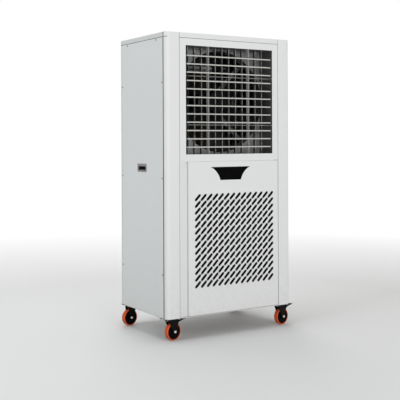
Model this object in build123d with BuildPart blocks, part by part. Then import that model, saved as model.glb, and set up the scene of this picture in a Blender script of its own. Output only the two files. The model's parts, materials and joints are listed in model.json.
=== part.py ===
"""Wheeled evaporative cooler: a tall sheet-metal cabinet on four swivel casters.

Air is drawn through slotted panels, dust filters and wet pads at the front and the rear, then an axial fan blows
it forward through an outlet with horizontal tilt blades and, behind them, vertical swing vanes.

Frame: millimetres, +Z up, front towards -Y, +X to the right seen from the front. The pieces are drawn about the
middle of the cabinet with the floor at z = 0, and written out about the middle of the whole footprint, which the
brake pedals and the water fittings push a little to the right and to the rear.
"""

from build123d import *
from math import cos, radians, sin
import os

# ---------------------------------------------------------------- driving dimensions
WIDTH = 850
DEPTH = 560
CABINET_HEIGHT = 1580
CASTER_HEIGHT = 125
SHEET = 1.5
BASE_PLATE = 3

SEAM_GAP = 2
PANEL_GROOVE = 8
COLUMN_WIDTH = 86
COLUMN_ROUND = 23
COLUMN_FLANK = 25.5
POST_ROUND = 18
POST_FLANK = 24
POST_REAR_WIDTH = 40
REVEAL_WIDTH = 55
REVEAL_DEPTH = 12
HINGE_SIDE_DEPTH = 20
LID_LIP = 25
LID_GAP = 3
LIP_LEAN = 2.5
HEADER_HEIGHT = 28
SEAM_HEIGHT = 863

OPENING_WIDTH = 594
OPENING_HEIGHT = 607
OPENING_BASE = 904
LOUVRE_COUNT = 12
LOUVRE_PITCH = 46.5
LOUVRE_DROP = 7.5
SUPPORT_OFFSET = 138
FAN_RADIUS = 295
BULKHEAD_SETBACK = 112

SLOT_PITCH = (38.7, 37.4)
SLOT_LENGTH = 50
SLOT_WIDTH = 15.5
DOOR_SLOT_ROWS = 14
DOOR_SLOT_COLUMNS = 14
DOOR_SLOT_CENTRE = (29.5, 418.5)
REAR_SLOT_ROWS = 24
REAR_SLOT_COLUMNS = 16
REAR_SLOT_CENTRE = 740

FOOTPRINT_MIDDLE = (15, 20)

WHEEL_RADIUS = 48.5
WHEEL_WIDTH = 28
CASTER_TRAIL = 16
CASTER_YAW = 10
CASTER_INSET = (49, 45)

# ---------------------------------------------------------------- derived places
LEFT, RIGHT = -WIDTH / 2, WIDTH / 2
FRONT, REAR = -DEPTH / 2, DEPTH / 2
BOTTOM = CASTER_HEIGHT
TOP = BOTTOM + CABINET_HEIGHT
FLOOR = BOTTOM + BASE_PLATE
HALF = SHEET / 2
COLUMN_INNER = WIDTH / 2 - COLUMN_WIDTH
SEAM = BOTTOM + SEAM_HEIGHT
HEADER = TOP - HEADER_HEIGHT
OPENING_MIDDLE = BOTTOM + OPENING_BASE + OPENING_HEIGHT / 2
BULKHEAD = FRONT + BULKHEAD_SETBACK
SIDE_PANEL_FRONT = FRONT + COLUMN_FLANK + PANEL_GROOVE
SIDE_PANEL_REAR = REAR - POST_FLANK - SEAM_GAP

os.makedirs("parts", exist_ok=True)
to_footprint = Location((-FOOTPRINT_MIDDLE[0], -FOOTPRINT_MIDDLE[1], 0))


def write(name, *shapes):
    """Writes one node: a single piece, or a group of separate solids that share the node."""
    solids = [solid for shape in shapes for solid in shape.solids()]
    node = (solids[0] if len(solids) == 1 else Compound(solids)).moved(to_footprint)
    node.label = name
    export_step(node, f"parts/{name}.step")


def box(x, y, z):
    """A box between two corners, given as (low, high) pairs, added to the part being built."""
    middle = tuple((low + high) / 2 for low, high in (x, y, z))
    with Locations(middle):
        Box(x[1] - x[0], y[1] - y[0], z[1] - z[0])


def cut(x, y, z):
    """The same box, taken away from the part being built."""
    middle = tuple((low + high) / 2 for low, high in (x, y, z))
    with Locations(middle):
        Box(x[1] - x[0], y[1] - y[0], z[1] - z[0], mode=Mode.SUBTRACT)


# ---------------------------------------------------------------- fastener places shared by several pieces
RUNNING = 0.05
SCREW_RADIUS = 2.4
SCREW_HOLE = 2.7
SCREW_EDGE = 9.5
SCREW_HEIGHTS = (241, 774, 1302)
TOP_SCREW_HEIGHT = 1543
REAR_SCREW_HEIGHTS = (60, 560, 1060, 1520)
BOLT_RADIUS = 4
PLATE_HOLES = (76, 66)
REAR_SPAN = WIDTH / 2 - POST_REAR_WIDTH - SEAM_GAP

front_edge_screws = [(SIDE_PANEL_FRONT + SCREW_EDGE, BOTTOM + height) for height in SCREW_HEIGHTS]
rear_edge_screws = [(SIDE_PANEL_REAR - SCREW_EDGE, BOTTOM + height) for height in SCREW_HEIGHTS]
top_screws = [(y, BOTTOM + TOP_SCREW_HEIGHT) for y in (SIDE_PANEL_FRONT + 76, SIDE_PANEL_REAR - 73)]
side_screws = front_edge_screws + rear_edge_screws + top_screws
rear_screws = [
    (side * (REAR_SPAN - 8), BOTTOM + height) for side in (-1, 1) for height in REAR_SCREW_HEIGHTS
]
caster_x, caster_y = WIDTH / 2 - CASTER_INSET[0], DEPTH / 2 - CASTER_INSET[1]
caster_spots = [(-caster_x, -caster_y), (caster_x, -caster_y), (-caster_x, caster_y), (caster_x, caster_y)]

# ---------------------------------------------------------------- chassis
UPRIGHT = 30
RAIL_HEIGHT = 40
TOP_RAIL_HEIGHT = 50
ANGLE = 3
CHASSIS_X = WIDTH / 2 - 13
CHASSIS_Y = DEPTH / 2 - 26
HINGE_INSET = (8, 6)
HINGE_PIN_RADIUS = 2.5
HINGE_GAP = 3
DOOR_LEFT = LEFT + COLUMN_WIDTH + REVEAL_WIDTH
DOOR_RIGHT = COLUMN_INNER - HINGE_GAP
DOOR_BOTTOM = FLOOR + 2
DOOR_TOP = SEAM - 0.3
HINGE_X = DOOR_RIGHT - HINGE_INSET[0]
HINGE_Y = FRONT + HINGE_INSET[1]


def angle_ring(edge, reach):
    """A ring of angle iron: flat flange at the given edge, and a web that reaches up (+) or down (-) from it."""
    inner_x, inner_y = CHASSIS_X - ANGLE, CHASSIS_Y - ANGLE
    clear_x, clear_y = CHASSIS_X - UPRIGHT, CHASSIS_Y - UPRIGHT
    flange = edge + (ANGLE if reach > 0 else -ANGLE)
    web_z, hollow_z = sorted((edge, edge + reach)), sorted((flange, edge + reach))
    box((-CHASSIS_X, CHASSIS_X), (-CHASSIS_Y, CHASSIS_Y), web_z)
    cut((-inner_x, inner_x), (-inner_y, inner_y), hollow_z)
    cut((-clear_x, clear_x), (-clear_y, clear_y), sorted((edge, flange)))


with BuildPart() as base_ring:
    angle_ring(BOTTOM, RAIL_HEIGHT)

with BuildPart() as top_ring:
    angle_ring(TOP - SHEET, -TOP_RAIL_HEIGHT)

with BuildPart() as chassis_frame:
    add(base_ring.part)
    add(top_ring.part)
    # Base plate under the whole cabinet.
    with BuildSketch(Plane.XY.offset(BOTTOM)) as base_outline:
        Rectangle(WIDTH - 1, DEPTH - 1)
        fillet(base_outline.vertices().group_by(Axis.Y)[0], COLUMN_ROUND)
        fillet(base_outline.vertices().group_by(Axis.Y)[-1], POST_ROUND)
    extrude(amount=BASE_PLATE)
    for side_x in (-1, 1):
        for side_y in (-1, 1):
            # L-section upright in each corner.
            web_x = sorted((side_x * CHASSIS_X, side_x * (CHASSIS_X - ANGLE)))
            web_y = sorted((side_y * CHASSIS_Y, side_y * (CHASSIS_Y - ANGLE)))
            leg_x = sorted((side_x * CHASSIS_X, side_x * (CHASSIS_X - UPRIGHT)))
            leg_y = sorted((side_y * CHASSIS_Y, side_y * (CHASSIS_Y - UPRIGHT)))
            box(web_x, leg_y, (BOTTOM, TOP - SHEET))
            box(leg_x, web_y, (BOTTOM, TOP - SHEET))
    # Middle rail behind the seam between the outlet panel and the door.
    rail_y = (-CHASSIS_Y, -CHASSIS_Y + ANGLE)
    box((-CHASSIS_X, CHASSIS_X), rail_y, (SEAM + 3, SEAM + 3 + UPRIGHT))
    # Tab and upper hinge pin for the door, and a lower pin on the base plate.
    tab_x = (HINGE_X - 10, HINGE_X + 4)
    box(tab_x, (HINGE_Y - 4, -CHASSIS_Y + ANGLE), (SEAM + 3, SEAM + 6))
    with Locations((HINGE_X, HINGE_Y, SEAM - 5)):
        Cylinder(HINGE_PIN_RADIUS, 20)
    with Locations((HINGE_X, HINGE_Y, FLOOR + 8)):
        Cylinder(HINGE_PIN_RADIUS, 16)
    # Rounded rear corner posts, welded on.
    with BuildSketch(Plane.XY.offset(FLOOR)):
        with BuildLine():
            flank_x, rear_y = LEFT + HALF, REAR - HALF
            Polyline(
                (LEFT + 10, REAR - POST_FLANK - 22),
                (LEFT + 10, REAR - POST_FLANK + HALF),
                (flank_x, REAR - POST_FLANK + HALF),
                (flank_x, REAR - POST_ROUND),
            )
            RadiusArc((flank_x, REAR - POST_ROUND), (LEFT + POST_ROUND, rear_y), POST_ROUND - HALF)
            Polyline(
                (LEFT + POST_ROUND, rear_y),
                (LEFT + POST_REAR_WIDTH - HALF, rear_y),
                (LEFT + POST_REAR_WIDTH - HALF, REAR - 10),
                (LEFT + POST_REAR_WIDTH + 16, REAR - 10),
            )
        trace(line_width=SHEET)
        mirror(about=Plane.YZ)
    extrude(amount=TOP - SHEET - FLOOR)
    # Cleats that join the posts to the chassis uprights, at the foot and at the top.
    for cleat_z in (BOTTOM + 5, TOP - 60):
        for side_x in (-1, 1):
            cleat_x = sorted((side_x * (CHASSIS_X - 1), side_x * (WIDTH / 2 - 9)))
            box(cleat_x, (CHASSIS_Y - 20, CHASSIS_Y), (cleat_z, cleat_z + 40))
    # Bosses on the top ring for the uppermost side screws.
    for y, z in top_screws:
        for side_x in (-1, 1):
            boss_x = sorted((side_x * CHASSIS_X, side_x * (CHASSIS_X + 4)))
            box(boss_x, (y - 8, y + 8), (z - 8, z + 8))
    # Tapped holes for the side screws, the rear screws and the caster bolts.
    for start in (LEFT + 7, RIGHT - 13):
        with BuildSketch(Plane.YZ.offset(start)):
            with Locations(rear_edge_screws + top_screws):
                Circle(SCREW_RADIUS + RUNNING)
        extrude(amount=6, mode=Mode.SUBTRACT)
    with BuildSketch(Plane.XZ.offset(-(REAR - 14))):
        with Locations(rear_screws):
            Circle(SCREW_RADIUS + RUNNING)
    extrude(amount=-6, mode=Mode.SUBTRACT)
    with BuildSketch(Plane.XY.offset(BOTTOM)):
        with Locations(caster_spots):
            with GridLocations(*PLATE_HOLES, 2, 2):
                Circle(BOLT_RADIUS + RUNNING)
    extrude(amount=BASE_PLATE, mode=Mode.SUBTRACT)
chassis_frame.part.label = "chassis_frame"
write("chassis_frame", chassis_frame.part)


# ---------------------------------------------------------------- front columns
def front_column(depth, flange, lip):
    """Left column: screw flange, flank, round corner, face, step back to a depth, and a flange of a given width.

    Beside the outlet panel the flange is only as wide as the lip.
    """
    with BuildPart() as column:
        with BuildSketch(Plane.XY.offset(FLOOR)):
            with BuildLine():
                flank_x, face_y = LEFT + HALF, FRONT + HALF
                step_x, step_y = LEFT + COLUMN_WIDTH - HALF, FRONT + depth + HALF
                Polyline(
                    (LEFT + 10, FRONT + COLUMN_FLANK + 25),
                    (LEFT + 10, FRONT + COLUMN_FLANK - HALF),
                    (flank_x, FRONT + COLUMN_FLANK - HALF),
                    (flank_x, FRONT + COLUMN_ROUND),
                )
                RadiusArc(
                    (flank_x, FRONT + COLUMN_ROUND),
                    (LEFT + COLUMN_ROUND, face_y),
                    -(COLUMN_ROUND - HALF),
                )
                Polyline(
                    (LEFT + COLUMN_ROUND, face_y),
                    (step_x, face_y),
                    (step_x, step_y),
                    (step_x + flange, step_y),
                )
            trace(line_width=SHEET)
        extrude(amount=TOP - SHEET - FLOOR)
        cut((-COLUMN_INNER + lip, -COLUMN_INNER + flange + 2), (FRONT, FRONT + 2 * depth), (SEAM, TOP))
        with BuildSketch(Plane.YZ.offset(LEFT + 8)):
            with Locations(front_edge_screws):
                Circle(SCREW_RADIUS + RUNNING)
        extrude(amount=4, mode=Mode.SUBTRACT)
    return column.part


write("front_left_column", front_column(REVEAL_DEPTH, REVEAL_WIDTH + 8, 1))
write("front_right_column", mirror(front_column(HINGE_SIDE_DEPTH, 6, 6), about=Plane.YZ))

# ---------------------------------------------------------------- top cover
with BuildPart() as top_cover:
    with BuildSketch(Plane.XY.offset(TOP - SHEET)) as lid_outline:
        Rectangle(WIDTH, DEPTH)
        corners = lid_outline.vertices().group_by(Axis.Y)
        fillet(corners[0], COLUMN_ROUND)
        fillet(lid_outline.vertices().group_by(Axis.Y)[-1], POST_ROUND)
    extrude(amount=SHEET)
    # Side lips lean in towards the panels, and the rear lip hangs straight.
    with BuildSketch(Plane.XZ.offset(-SIDE_PANEL_FRONT)):
        with BuildLine():
            Polyline(
                (RIGHT, TOP),
                (RIGHT - LIP_LEAN, TOP - LID_LIP),
                (RIGHT - LIP_LEAN - SHEET, TOP - LID_LIP),
                (RIGHT - SHEET, TOP),
                close=True,
            )
        make_face()
        mirror(about=Plane.YZ)
    extrude(amount=-(SIDE_PANEL_REAR - SIDE_PANEL_FRONT))
    box((-REAR_SPAN, REAR_SPAN), (REAR - SHEET, REAR), (TOP - LID_LIP, TOP))
    # Front header between the columns.
    header_span = COLUMN_INNER - SEAM_GAP
    box((-header_span, header_span), (FRONT, FRONT + SHEET), (HEADER, TOP))
    box((-header_span, header_span), (FRONT, FRONT + 12), (HEADER, HEADER + SHEET))
top_cover.part.label = "top_cover"
write("top_cover", top_cover.part)

# ---------------------------------------------------------------- side panels
PANEL_RETURN = 9
HANDLE_HEIGHT = 826
HANDLE_SIZE = (108, 47)
HANDLE_BODY = (98, 38)
HANDLE_DEPTH = 26
PANEL_TOP = TOP - LID_LIP - LID_GAP
PANEL_BOTTOM = FLOOR + 1
HANDLE_Z = BOTTOM + HANDLE_HEIGHT

with BuildPart() as left_side_panel:
    y_span, z_span = (SIDE_PANEL_FRONT, SIDE_PANEL_REAR), (PANEL_BOTTOM, PANEL_TOP)
    box((LEFT, LEFT + PANEL_RETURN), y_span, z_span)
    inner_y = (SIDE_PANEL_FRONT + SHEET, SIDE_PANEL_REAR - SHEET)
    inner_z = (PANEL_BOTTOM + SHEET, PANEL_TOP - SHEET)
    cut((LEFT + SHEET, LEFT + PANEL_RETURN), inner_y, inner_z)
    with BuildSketch(Plane.YZ.offset(LEFT)):
        with Locations((0, HANDLE_Z)):
            Rectangle(HANDLE_BODY[0] + 1, HANDLE_BODY[1] + 1)
        with Locations(side_screws):
            Circle(SCREW_HOLE)
    extrude(amount=SHEET, mode=Mode.SUBTRACT)
left_side_panel.part.label = "left_side_panel"
write("left_side_panel", left_side_panel.part)
write("right_side_panel", mirror(left_side_panel.part, about=Plane.YZ))

# Flush pull: a flange on the panel, and a cup behind it with a deep finger slot over a sloping floor.
with BuildPart() as left_handle:
    with BuildSketch(Plane.YZ.offset(LEFT)):
        with Locations((0, HANDLE_Z)):
            RectangleRounded(*HANDLE_SIZE, 5)
    extrude(amount=-SHEET)
    half_y, half_z = HANDLE_BODY[0] / 2, HANDLE_BODY[1] / 2
    box((LEFT, LEFT + HANDLE_DEPTH), (-half_y, half_y), (HANDLE_Z - half_z, HANDLE_Z + half_z))
    with BuildSketch(Plane.XZ.offset(-half_y + 3)):
        with BuildLine():
            Polyline(
                (LEFT - SHEET, HANDLE_Z - half_z + 3),
                (LEFT + HANDLE_DEPTH - 3, HANDLE_Z + 2),
                (LEFT + HANDLE_DEPTH - 3, HANDLE_Z + half_z - 3),
                (LEFT + 4, HANDLE_Z + half_z - 3),
                (LEFT + 4, HANDLE_Z + 9),
                (LEFT - SHEET, HANDLE_Z + 9),
                close=True,
            )
        make_face()
    extrude(amount=HANDLE_BODY[0] - 6, mode=Mode.SUBTRACT)
write("side_handles", left_handle.part, mirror(left_handle.part, about=Plane.YZ))

# ---------------------------------------------------------------- outlet panel
PANEL_EDGE = 18
OUTLET_PANEL_SPAN = COLUMN_INNER - SEAM_GAP
OUTLET_PANEL_BASE = SEAM + 0.3
HINGE_RELIEF = (OPENING_WIDTH / 2, 2)
OUTLET_PANEL_TOP = HEADER - SEAM_GAP
opening_x = (-OPENING_WIDTH / 2, OPENING_WIDTH / 2)
opening_z = (OPENING_MIDDLE - OPENING_HEIGHT / 2, OPENING_MIDDLE + OPENING_HEIGHT / 2)

with BuildPart() as outlet_panel:
    outer_x = (-OUTLET_PANEL_SPAN, OUTLET_PANEL_SPAN)
    box(outer_x, (FRONT, FRONT + PANEL_EDGE), (OUTLET_PANEL_BASE, OUTLET_PANEL_TOP))
    cut(
        (outer_x[0] + SHEET, outer_x[1] - SHEET),
        (FRONT + SHEET, FRONT + PANEL_EDGE),
        (OUTLET_PANEL_BASE + SHEET, OUTLET_PANEL_TOP - SHEET),
    )
    cut(opening_x, (FRONT, FRONT + SHEET), opening_z)
    # Relief over the hinge side of the door.
    relief_x = (HINGE_RELIEF[0], OUTLET_PANEL_SPAN)
    cut(relief_x, (FRONT, FRONT + SHEET), (OUTLET_PANEL_BASE, OUTLET_PANEL_BASE + HINGE_RELIEF[1]))
    # Notch in the lower edge for the door's hinge tab.
    cut((HINGE_X - 14, HINGE_X + 9), (FRONT + SHEET, FRONT + PANEL_EDGE), (SEAM, SEAM + 8))
outlet_panel.part.label = "outlet_panel"
write("outlet_panel", outlet_panel.part)

# ---------------------------------------------------------------- outlet frame, blades and vanes
FRAME_WALL = 3
FRAME_FLANGE = 12
BLADE_AXIS_Y = FRONT + 17
BLADE_NOSE = (-9, 3.75)
BLADE_TAIL = (13, 1)
BLADE_PIVOT = 2
BLADE_PIN_REACH = 4
VANE_AXIS_Y = FRONT + 60
VANE_NOSE = (-8.5, 2.25)
VANE_TAIL = (10.25, 0.75)
VANE_PIVOT = 1.5
STRIP = 2
NOTCH = 4
BLADE_END_GAP = 9
VANE_END_GAP = 1
BLADE_CRANK = (11, 1.5)
VANE_CRANK = (8, 1.25)
BLADE_LINK_X = -268
VANE_LINK_Z = opening_z[1] - 12

vane_places = [LOUVRE_PITCH * (n - (LOUVRE_COUNT - 1) / 2) for n in range(LOUVRE_COUNT)]
blade_heights = [OPENING_MIDDLE - LOUVRE_DROP + place for place in vane_places]

with BuildPart() as outlet_frame:
    wall_x = (opening_x[0] - FRAME_WALL, opening_x[1] + FRAME_WALL)
    wall_z = (opening_z[0] - FRAME_WALL, opening_z[1] + FRAME_WALL)
    flange_x = (opening_x[0] - FRAME_FLANGE, opening_x[1] + FRAME_FLANGE)
    flange_z = (opening_z[0] - FRAME_FLANGE, opening_z[1] + FRAME_FLANGE)
    box(flange_x, (FRONT + SHEET, FRONT + SHEET + 2), flange_z)
    box(wall_x, (FRONT + SHEET, BULKHEAD), wall_z)
    cut(opening_x, (FRONT + SHEET, BULKHEAD), opening_z)
    # Two upright strips carry the blades, and two level strips carry the vanes.
    for x in (-SUPPORT_OFFSET, SUPPORT_OFFSET):
        box((x - STRIP / 2, x + STRIP / 2), (BLADE_AXIS_Y - 4, BLADE_AXIS_Y + 22), opening_z)
    for z in (OPENING_MIDDLE - SUPPORT_OFFSET, OPENING_MIDDLE + SUPPORT_OFFSET):
        box(opening_x, (VANE_AXIS_Y - 18, VANE_AXIS_Y + 4), (z - STRIP / 2, z + STRIP / 2))
    # Bearing holes, right through both walls and both strips.
    with BuildSketch(Plane.YZ.offset(wall_x[0])):
        with Locations([(BLADE_AXIS_Y, z) for z in blade_heights]):
            Circle(BLADE_PIVOT + RUNNING)
    extrude(amount=wall_x[1] - wall_x[0], mode=Mode.SUBTRACT)
    with BuildSketch(Plane.XY.offset(wall_z[0])):
        with Locations([(x, VANE_AXIS_Y) for x in vane_places]):
            Circle(VANE_PIVOT + RUNNING)
    extrude(amount=wall_z[1] - wall_z[0], mode=Mode.SUBTRACT)
outlet_frame.part.label = "outlet_frame"
write("outlet_frame", outlet_frame.part)


def teardrop(nose, tail):
    """Blade section with its pivot at the sketch's origin and its thick nose on the low side of x."""
    with Locations((nose[0], 0)):
        Circle(nose[1])
    with Locations((tail[0], 0)):
        Circle(tail[1])
    make_hull()


# One tilt blade about its own pivot, lying along X.
blade_length = OPENING_WIDTH - 2 * BLADE_END_GAP
with BuildPart() as tilt_blade:
    with BuildSketch(Plane.YZ.offset(-blade_length / 2)):
        teardrop(BLADE_NOSE, BLADE_TAIL)
    extrude(amount=blade_length)
    for x in (-SUPPORT_OFFSET, SUPPORT_OFFSET):
        cut((x - NOTCH / 2, x + NOTCH / 2), (-8.5, 20), (-5, 5))
    cut((BLADE_LINK_X - NOTCH / 2, BLADE_LINK_X + NOTCH / 2), (3.5, 20), (-5, 5))
    with BuildSketch(Plane.YZ.offset(-OPENING_WIDTH / 2 - BLADE_PIN_REACH)):
        Circle(BLADE_PIVOT)
    extrude(amount=OPENING_WIDTH + 2 * BLADE_PIN_REACH)
    with BuildSketch(Plane.YZ.offset(BLADE_LINK_X - NOTCH / 2 - 1)):
        with Locations((BLADE_CRANK[0], 0)):
            Circle(BLADE_CRANK[1])
    extrude(amount=NOTCH + 2)

# One swing vane about its own pivot, standing along Z.
vane_length = OPENING_HEIGHT - 2 * VANE_END_GAP
with BuildPart() as swing_vane:
    with BuildSketch(Plane(origin=(0, 0, -vane_length / 2), x_dir=(0, 1, 0), z_dir=(0, 0, 1))):
        teardrop(VANE_NOSE, VANE_TAIL)
    extrude(amount=vane_length)
    for z in (-SUPPORT_OFFSET, SUPPORT_OFFSET):
        cut((-5, 5), (-20, 6.5), (z - NOTCH / 2, z + NOTCH / 2))
    link_z = VANE_LINK_Z - OPENING_MIDDLE
    cut((-5, 5), (2.5, 20), (link_z - NOTCH / 2, link_z + NOTCH / 2))
    with BuildSketch(Plane.XY.offset(-vane_length / 2 - FRAME_WALL - 2)):
        Circle(VANE_PIVOT)
    extrude(amount=vane_length + 2 * (FRAME_WALL + 2))
    with BuildSketch(Plane.XY.offset(link_z - NOTCH / 2 - 1)):
        with Locations((0, VANE_CRANK[0])):
            Circle(VANE_CRANK[1])
    extrude(amount=NOTCH + 2)

for number, z in enumerate(reversed(blade_heights), start=1):
    write(f"tilt_blade_{number:02d}", tilt_blade.part.moved(Location((0, BLADE_AXIS_Y, z))))
for number, x in enumerate(vane_places, start=1):
    write(f"swing_vane_{number:02d}", swing_vane.part.moved(Location((x, VANE_AXIS_Y, OPENING_MIDDLE))))

with BuildPart() as blade_link_bar:
    crank_y = BLADE_AXIS_Y + BLADE_CRANK[0]
    link_x = (BLADE_LINK_X - STRIP / 2, BLADE_LINK_X + STRIP / 2)
    box(link_x, (crank_y - 4, crank_y + 4), (blade_heights[0] - 7, blade_heights[-1] + 7))
    with BuildSketch(Plane.YZ.offset(link_x[0])):
        with Locations([(crank_y, z) for z in blade_heights]):
            Circle(BLADE_CRANK[1] + RUNNING)
    extrude(amount=STRIP, mode=Mode.SUBTRACT)
blade_link_bar.part.label = "blade_link_bar"
write("blade_link_bar", blade_link_bar.part)

with BuildPart() as vane_link_bar:
    crank_y = VANE_AXIS_Y + VANE_CRANK[0]
    bar_z = (VANE_LINK_Z - STRIP / 2, VANE_LINK_Z + STRIP / 2)
    box((vane_places[0] - 7, vane_places[-1] + 7), (crank_y - 3.5, crank_y + 3.5), bar_z)
    with BuildSketch(Plane.XY.offset(bar_z[0])):
        with Locations([(x, crank_y) for x in vane_places]):
            Circle(VANE_CRANK[1] + RUNNING)
    extrude(amount=STRIP, mode=Mode.SUBTRACT)
vane_link_bar.part.label = "vane_link_bar"
write("vane_link_bar", vane_link_bar.part)

# ---------------------------------------------------------------- fan
RING_DEPTH = 60
BULKHEAD_X = 398
BULKHEAD_Z = (SEAM + 36, TOP - 40)
HUB_RADIUS = 68
TIP_RADIUS = FAN_RADIUS - 7
FAN_BLADES = 6
HUB_Y = (BULKHEAD + 14, BULKHEAD + 66)
MOTOR_RADIUS = 64
MOTOR_Y = (BULKHEAD + 80, BULKHEAD + 215)
SHAFT_RADIUS = 9
ARM_RADIUS = FAN_RADIUS + 22
ARM_Y = (BULKHEAD + 120, BULKHEAD + 124)

with BuildPart() as fan_bulkhead:
    box((-BULKHEAD_X, BULKHEAD_X), (BULKHEAD, BULKHEAD + SHEET), BULKHEAD_Z)
    # Bell-mouth ring on the suction side, and the round outlet through the plate.
    with BuildSketch(Plane.XZ.offset(-BULKHEAD)):
        with Locations((0, OPENING_MIDDLE)):
            Circle(FAN_RADIUS + SHEET)
    extrude(amount=-RING_DEPTH)
    with BuildSketch(Plane.XZ.offset(-(BULKHEAD + RING_DEPTH - 4))):
        with Locations((0, OPENING_MIDDLE)):
            Circle(FAN_RADIUS + 12)
    extrude(amount=-4)
    with BuildSketch(Plane.XZ.offset(-BULKHEAD)):
        with Locations((0, OPENING_MIDDLE)):
            Circle(FAN_RADIUS)
    extrude(amount=-RING_DEPTH, mode=Mode.SUBTRACT)
    # Four posts and radial arms that hold the motor's clamp ring.
    with BuildSketch(Plane.XZ.offset(-ARM_Y[0])):
        with Locations((0, OPENING_MIDDLE)):
            Circle(MOTOR_RADIUS + 10)
        with Locations((0, OPENING_MIDDLE)):
            Rectangle(2 * ARM_RADIUS, 26, rotation=45)
            Rectangle(2 * ARM_RADIUS, 26, rotation=-45)
        with Locations((0, OPENING_MIDDLE)):
            Circle(MOTOR_RADIUS, mode=Mode.SUBTRACT)
    extrude(amount=-(ARM_Y[1] - ARM_Y[0]))
    with BuildSketch(Plane.XZ.offset(-BULKHEAD)):
        with Locations((0, OPENING_MIDDLE)):
            with PolarLocations(ARM_RADIUS - 1, 4, start_angle=45):
                Rectangle(4, 26)
    extrude(amount=-(ARM_Y[1] - BULKHEAD))
fan_bulkhead.part.label = "fan_bulkhead"
write("fan_bulkhead", fan_bulkhead.part)

with BuildPart() as one_fan_blade:
    for radius, chord, thickness, pitch in ((HUB_RADIUS - 6, 62, 6, 48), (TIP_RADIUS, 132, 3, 22)):
        with BuildSketch(Plane.XY.offset(radius)):
            SlotOverall(chord, thickness, rotation=pitch)
    loft()
    # The tip is trimmed to the fan's circle.
    with BuildSketch(Plane.XZ):
        Circle(TIP_RADIUS - 1)
    extrude(amount=60, both=True, mode=Mode.INTERSECT)

with BuildPart() as fan_wheel:
    with BuildSketch(Plane.XZ):
        Circle(HUB_RADIUS)
    extrude(amount=(HUB_Y[1] - HUB_Y[0]) / 2, both=True)
    fillet(fan_wheel.faces().sort_by(Axis.Y)[0].edges(), 10)
    for step in range(FAN_BLADES):
        add(one_fan_blade.part.rotate(Axis.Y, step * 360 / FAN_BLADES))
    with BuildSketch(Plane.XZ):
        Circle(SHAFT_RADIUS)
    extrude(amount=60, both=True, mode=Mode.SUBTRACT)

hub_middle = (HUB_Y[0] + HUB_Y[1]) / 2
with BuildPart() as fan_shaft:
    with BuildSketch(Plane.XZ.offset(-(HUB_Y[0] - 6))):
        with Locations((0, OPENING_MIDDLE)):
            Circle(SHAFT_RADIUS)
    extrude(amount=-(MOTOR_Y[0] + 40 - HUB_Y[0] + 6))
    chamfer(fan_shaft.faces().sort_by(Axis.Y)[0].edges(), 1.5)
placed_wheel = fan_wheel.part.moved(Location((0, hub_middle, OPENING_MIDDLE)))
write("fan_rotor", placed_wheel, fan_shaft.part)

with BuildPart() as fan_motor:
    with BuildSketch(Plane.XZ.offset(-MOTOR_Y[0])):
        with Locations((0, OPENING_MIDDLE)):
            Circle(MOTOR_RADIUS)
    extrude(amount=-(MOTOR_Y[1] - MOTOR_Y[0]))
    fillet(fan_motor.edges().filter_by(GeomType.CIRCLE), 8)
    # Cooling grooves round the rear half of the housing.
    for groove in range(6):
        groove_y = ARM_Y[1] + 14 + groove * 10
        with BuildSketch(Plane.XZ.offset(-groove_y)):
            with Locations((0, OPENING_MIDDLE)):
                Circle(MOTOR_RADIUS + 1)
                Circle(MOTOR_RADIUS - 5, mode=Mode.SUBTRACT)
        extrude(amount=-4, mode=Mode.SUBTRACT)
    with BuildSketch(Plane.XZ.offset(-MOTOR_Y[0])):
        with Locations((0, OPENING_MIDDLE)):
            Circle(SHAFT_RADIUS + RUNNING)
    extrude(amount=-42, mode=Mode.SUBTRACT)
    # Terminal box on top, clear of the arms.
    box((-35, 35), (ARM_Y[1] + 12, ARM_Y[1] + 72), (OPENING_MIDDLE + 50, OPENING_MIDDLE + 88))
fan_motor.part.label = "fan_motor"
write("fan_motor", fan_motor.part)


# ---------------------------------------------------------------- slotted panels
def slot_grid(columns, rows):
    """Diagonal round-ended slots on a square grid, drawn where the surrounding Locations put them."""
    with GridLocations(*SLOT_PITCH, columns, rows):
        SlotOverall(SLOT_LENGTH, SLOT_WIDTH, rotation=45)


# ---------------------------------------------------------------- service door and control fascia
DOOR_EDGE = 19
HINGE_EDGE = 12
FASCIA_TOP = BOTTOM + 831
FASCIA_HEIGHT = 75
FASCIA_X = 0
FASCIA_HALF_WIDTHS = (135, 96, 71)
FASCIA_BEND = 28.5


# Trapezoid with flared, inward-curved sides, for the cut-out, and the slightly smaller face that fills it.
with BuildSketch() as fascia_cutout:
    with BuildLine():
        wide, waist, narrow = FASCIA_HALF_WIDTHS
        low, bend = FASCIA_TOP - FASCIA_HEIGHT, FASCIA_TOP - FASCIA_BEND
        Line((FASCIA_X - wide, FASCIA_TOP), (FASCIA_X + wide, FASCIA_TOP))
        ThreePointArc((FASCIA_X + wide, FASCIA_TOP), (FASCIA_X + waist, bend), (FASCIA_X + narrow, low))
        Line((FASCIA_X + narrow, low), (FASCIA_X - narrow, low))
        ThreePointArc((FASCIA_X - narrow, low), (FASCIA_X - waist, bend), (FASCIA_X - wide, FASCIA_TOP))
    make_face()
with BuildSketch() as fascia_face:
    add(fascia_cutout.sketch)
    offset(amount=-0.4, kind=Kind.INTERSECTION)

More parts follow.
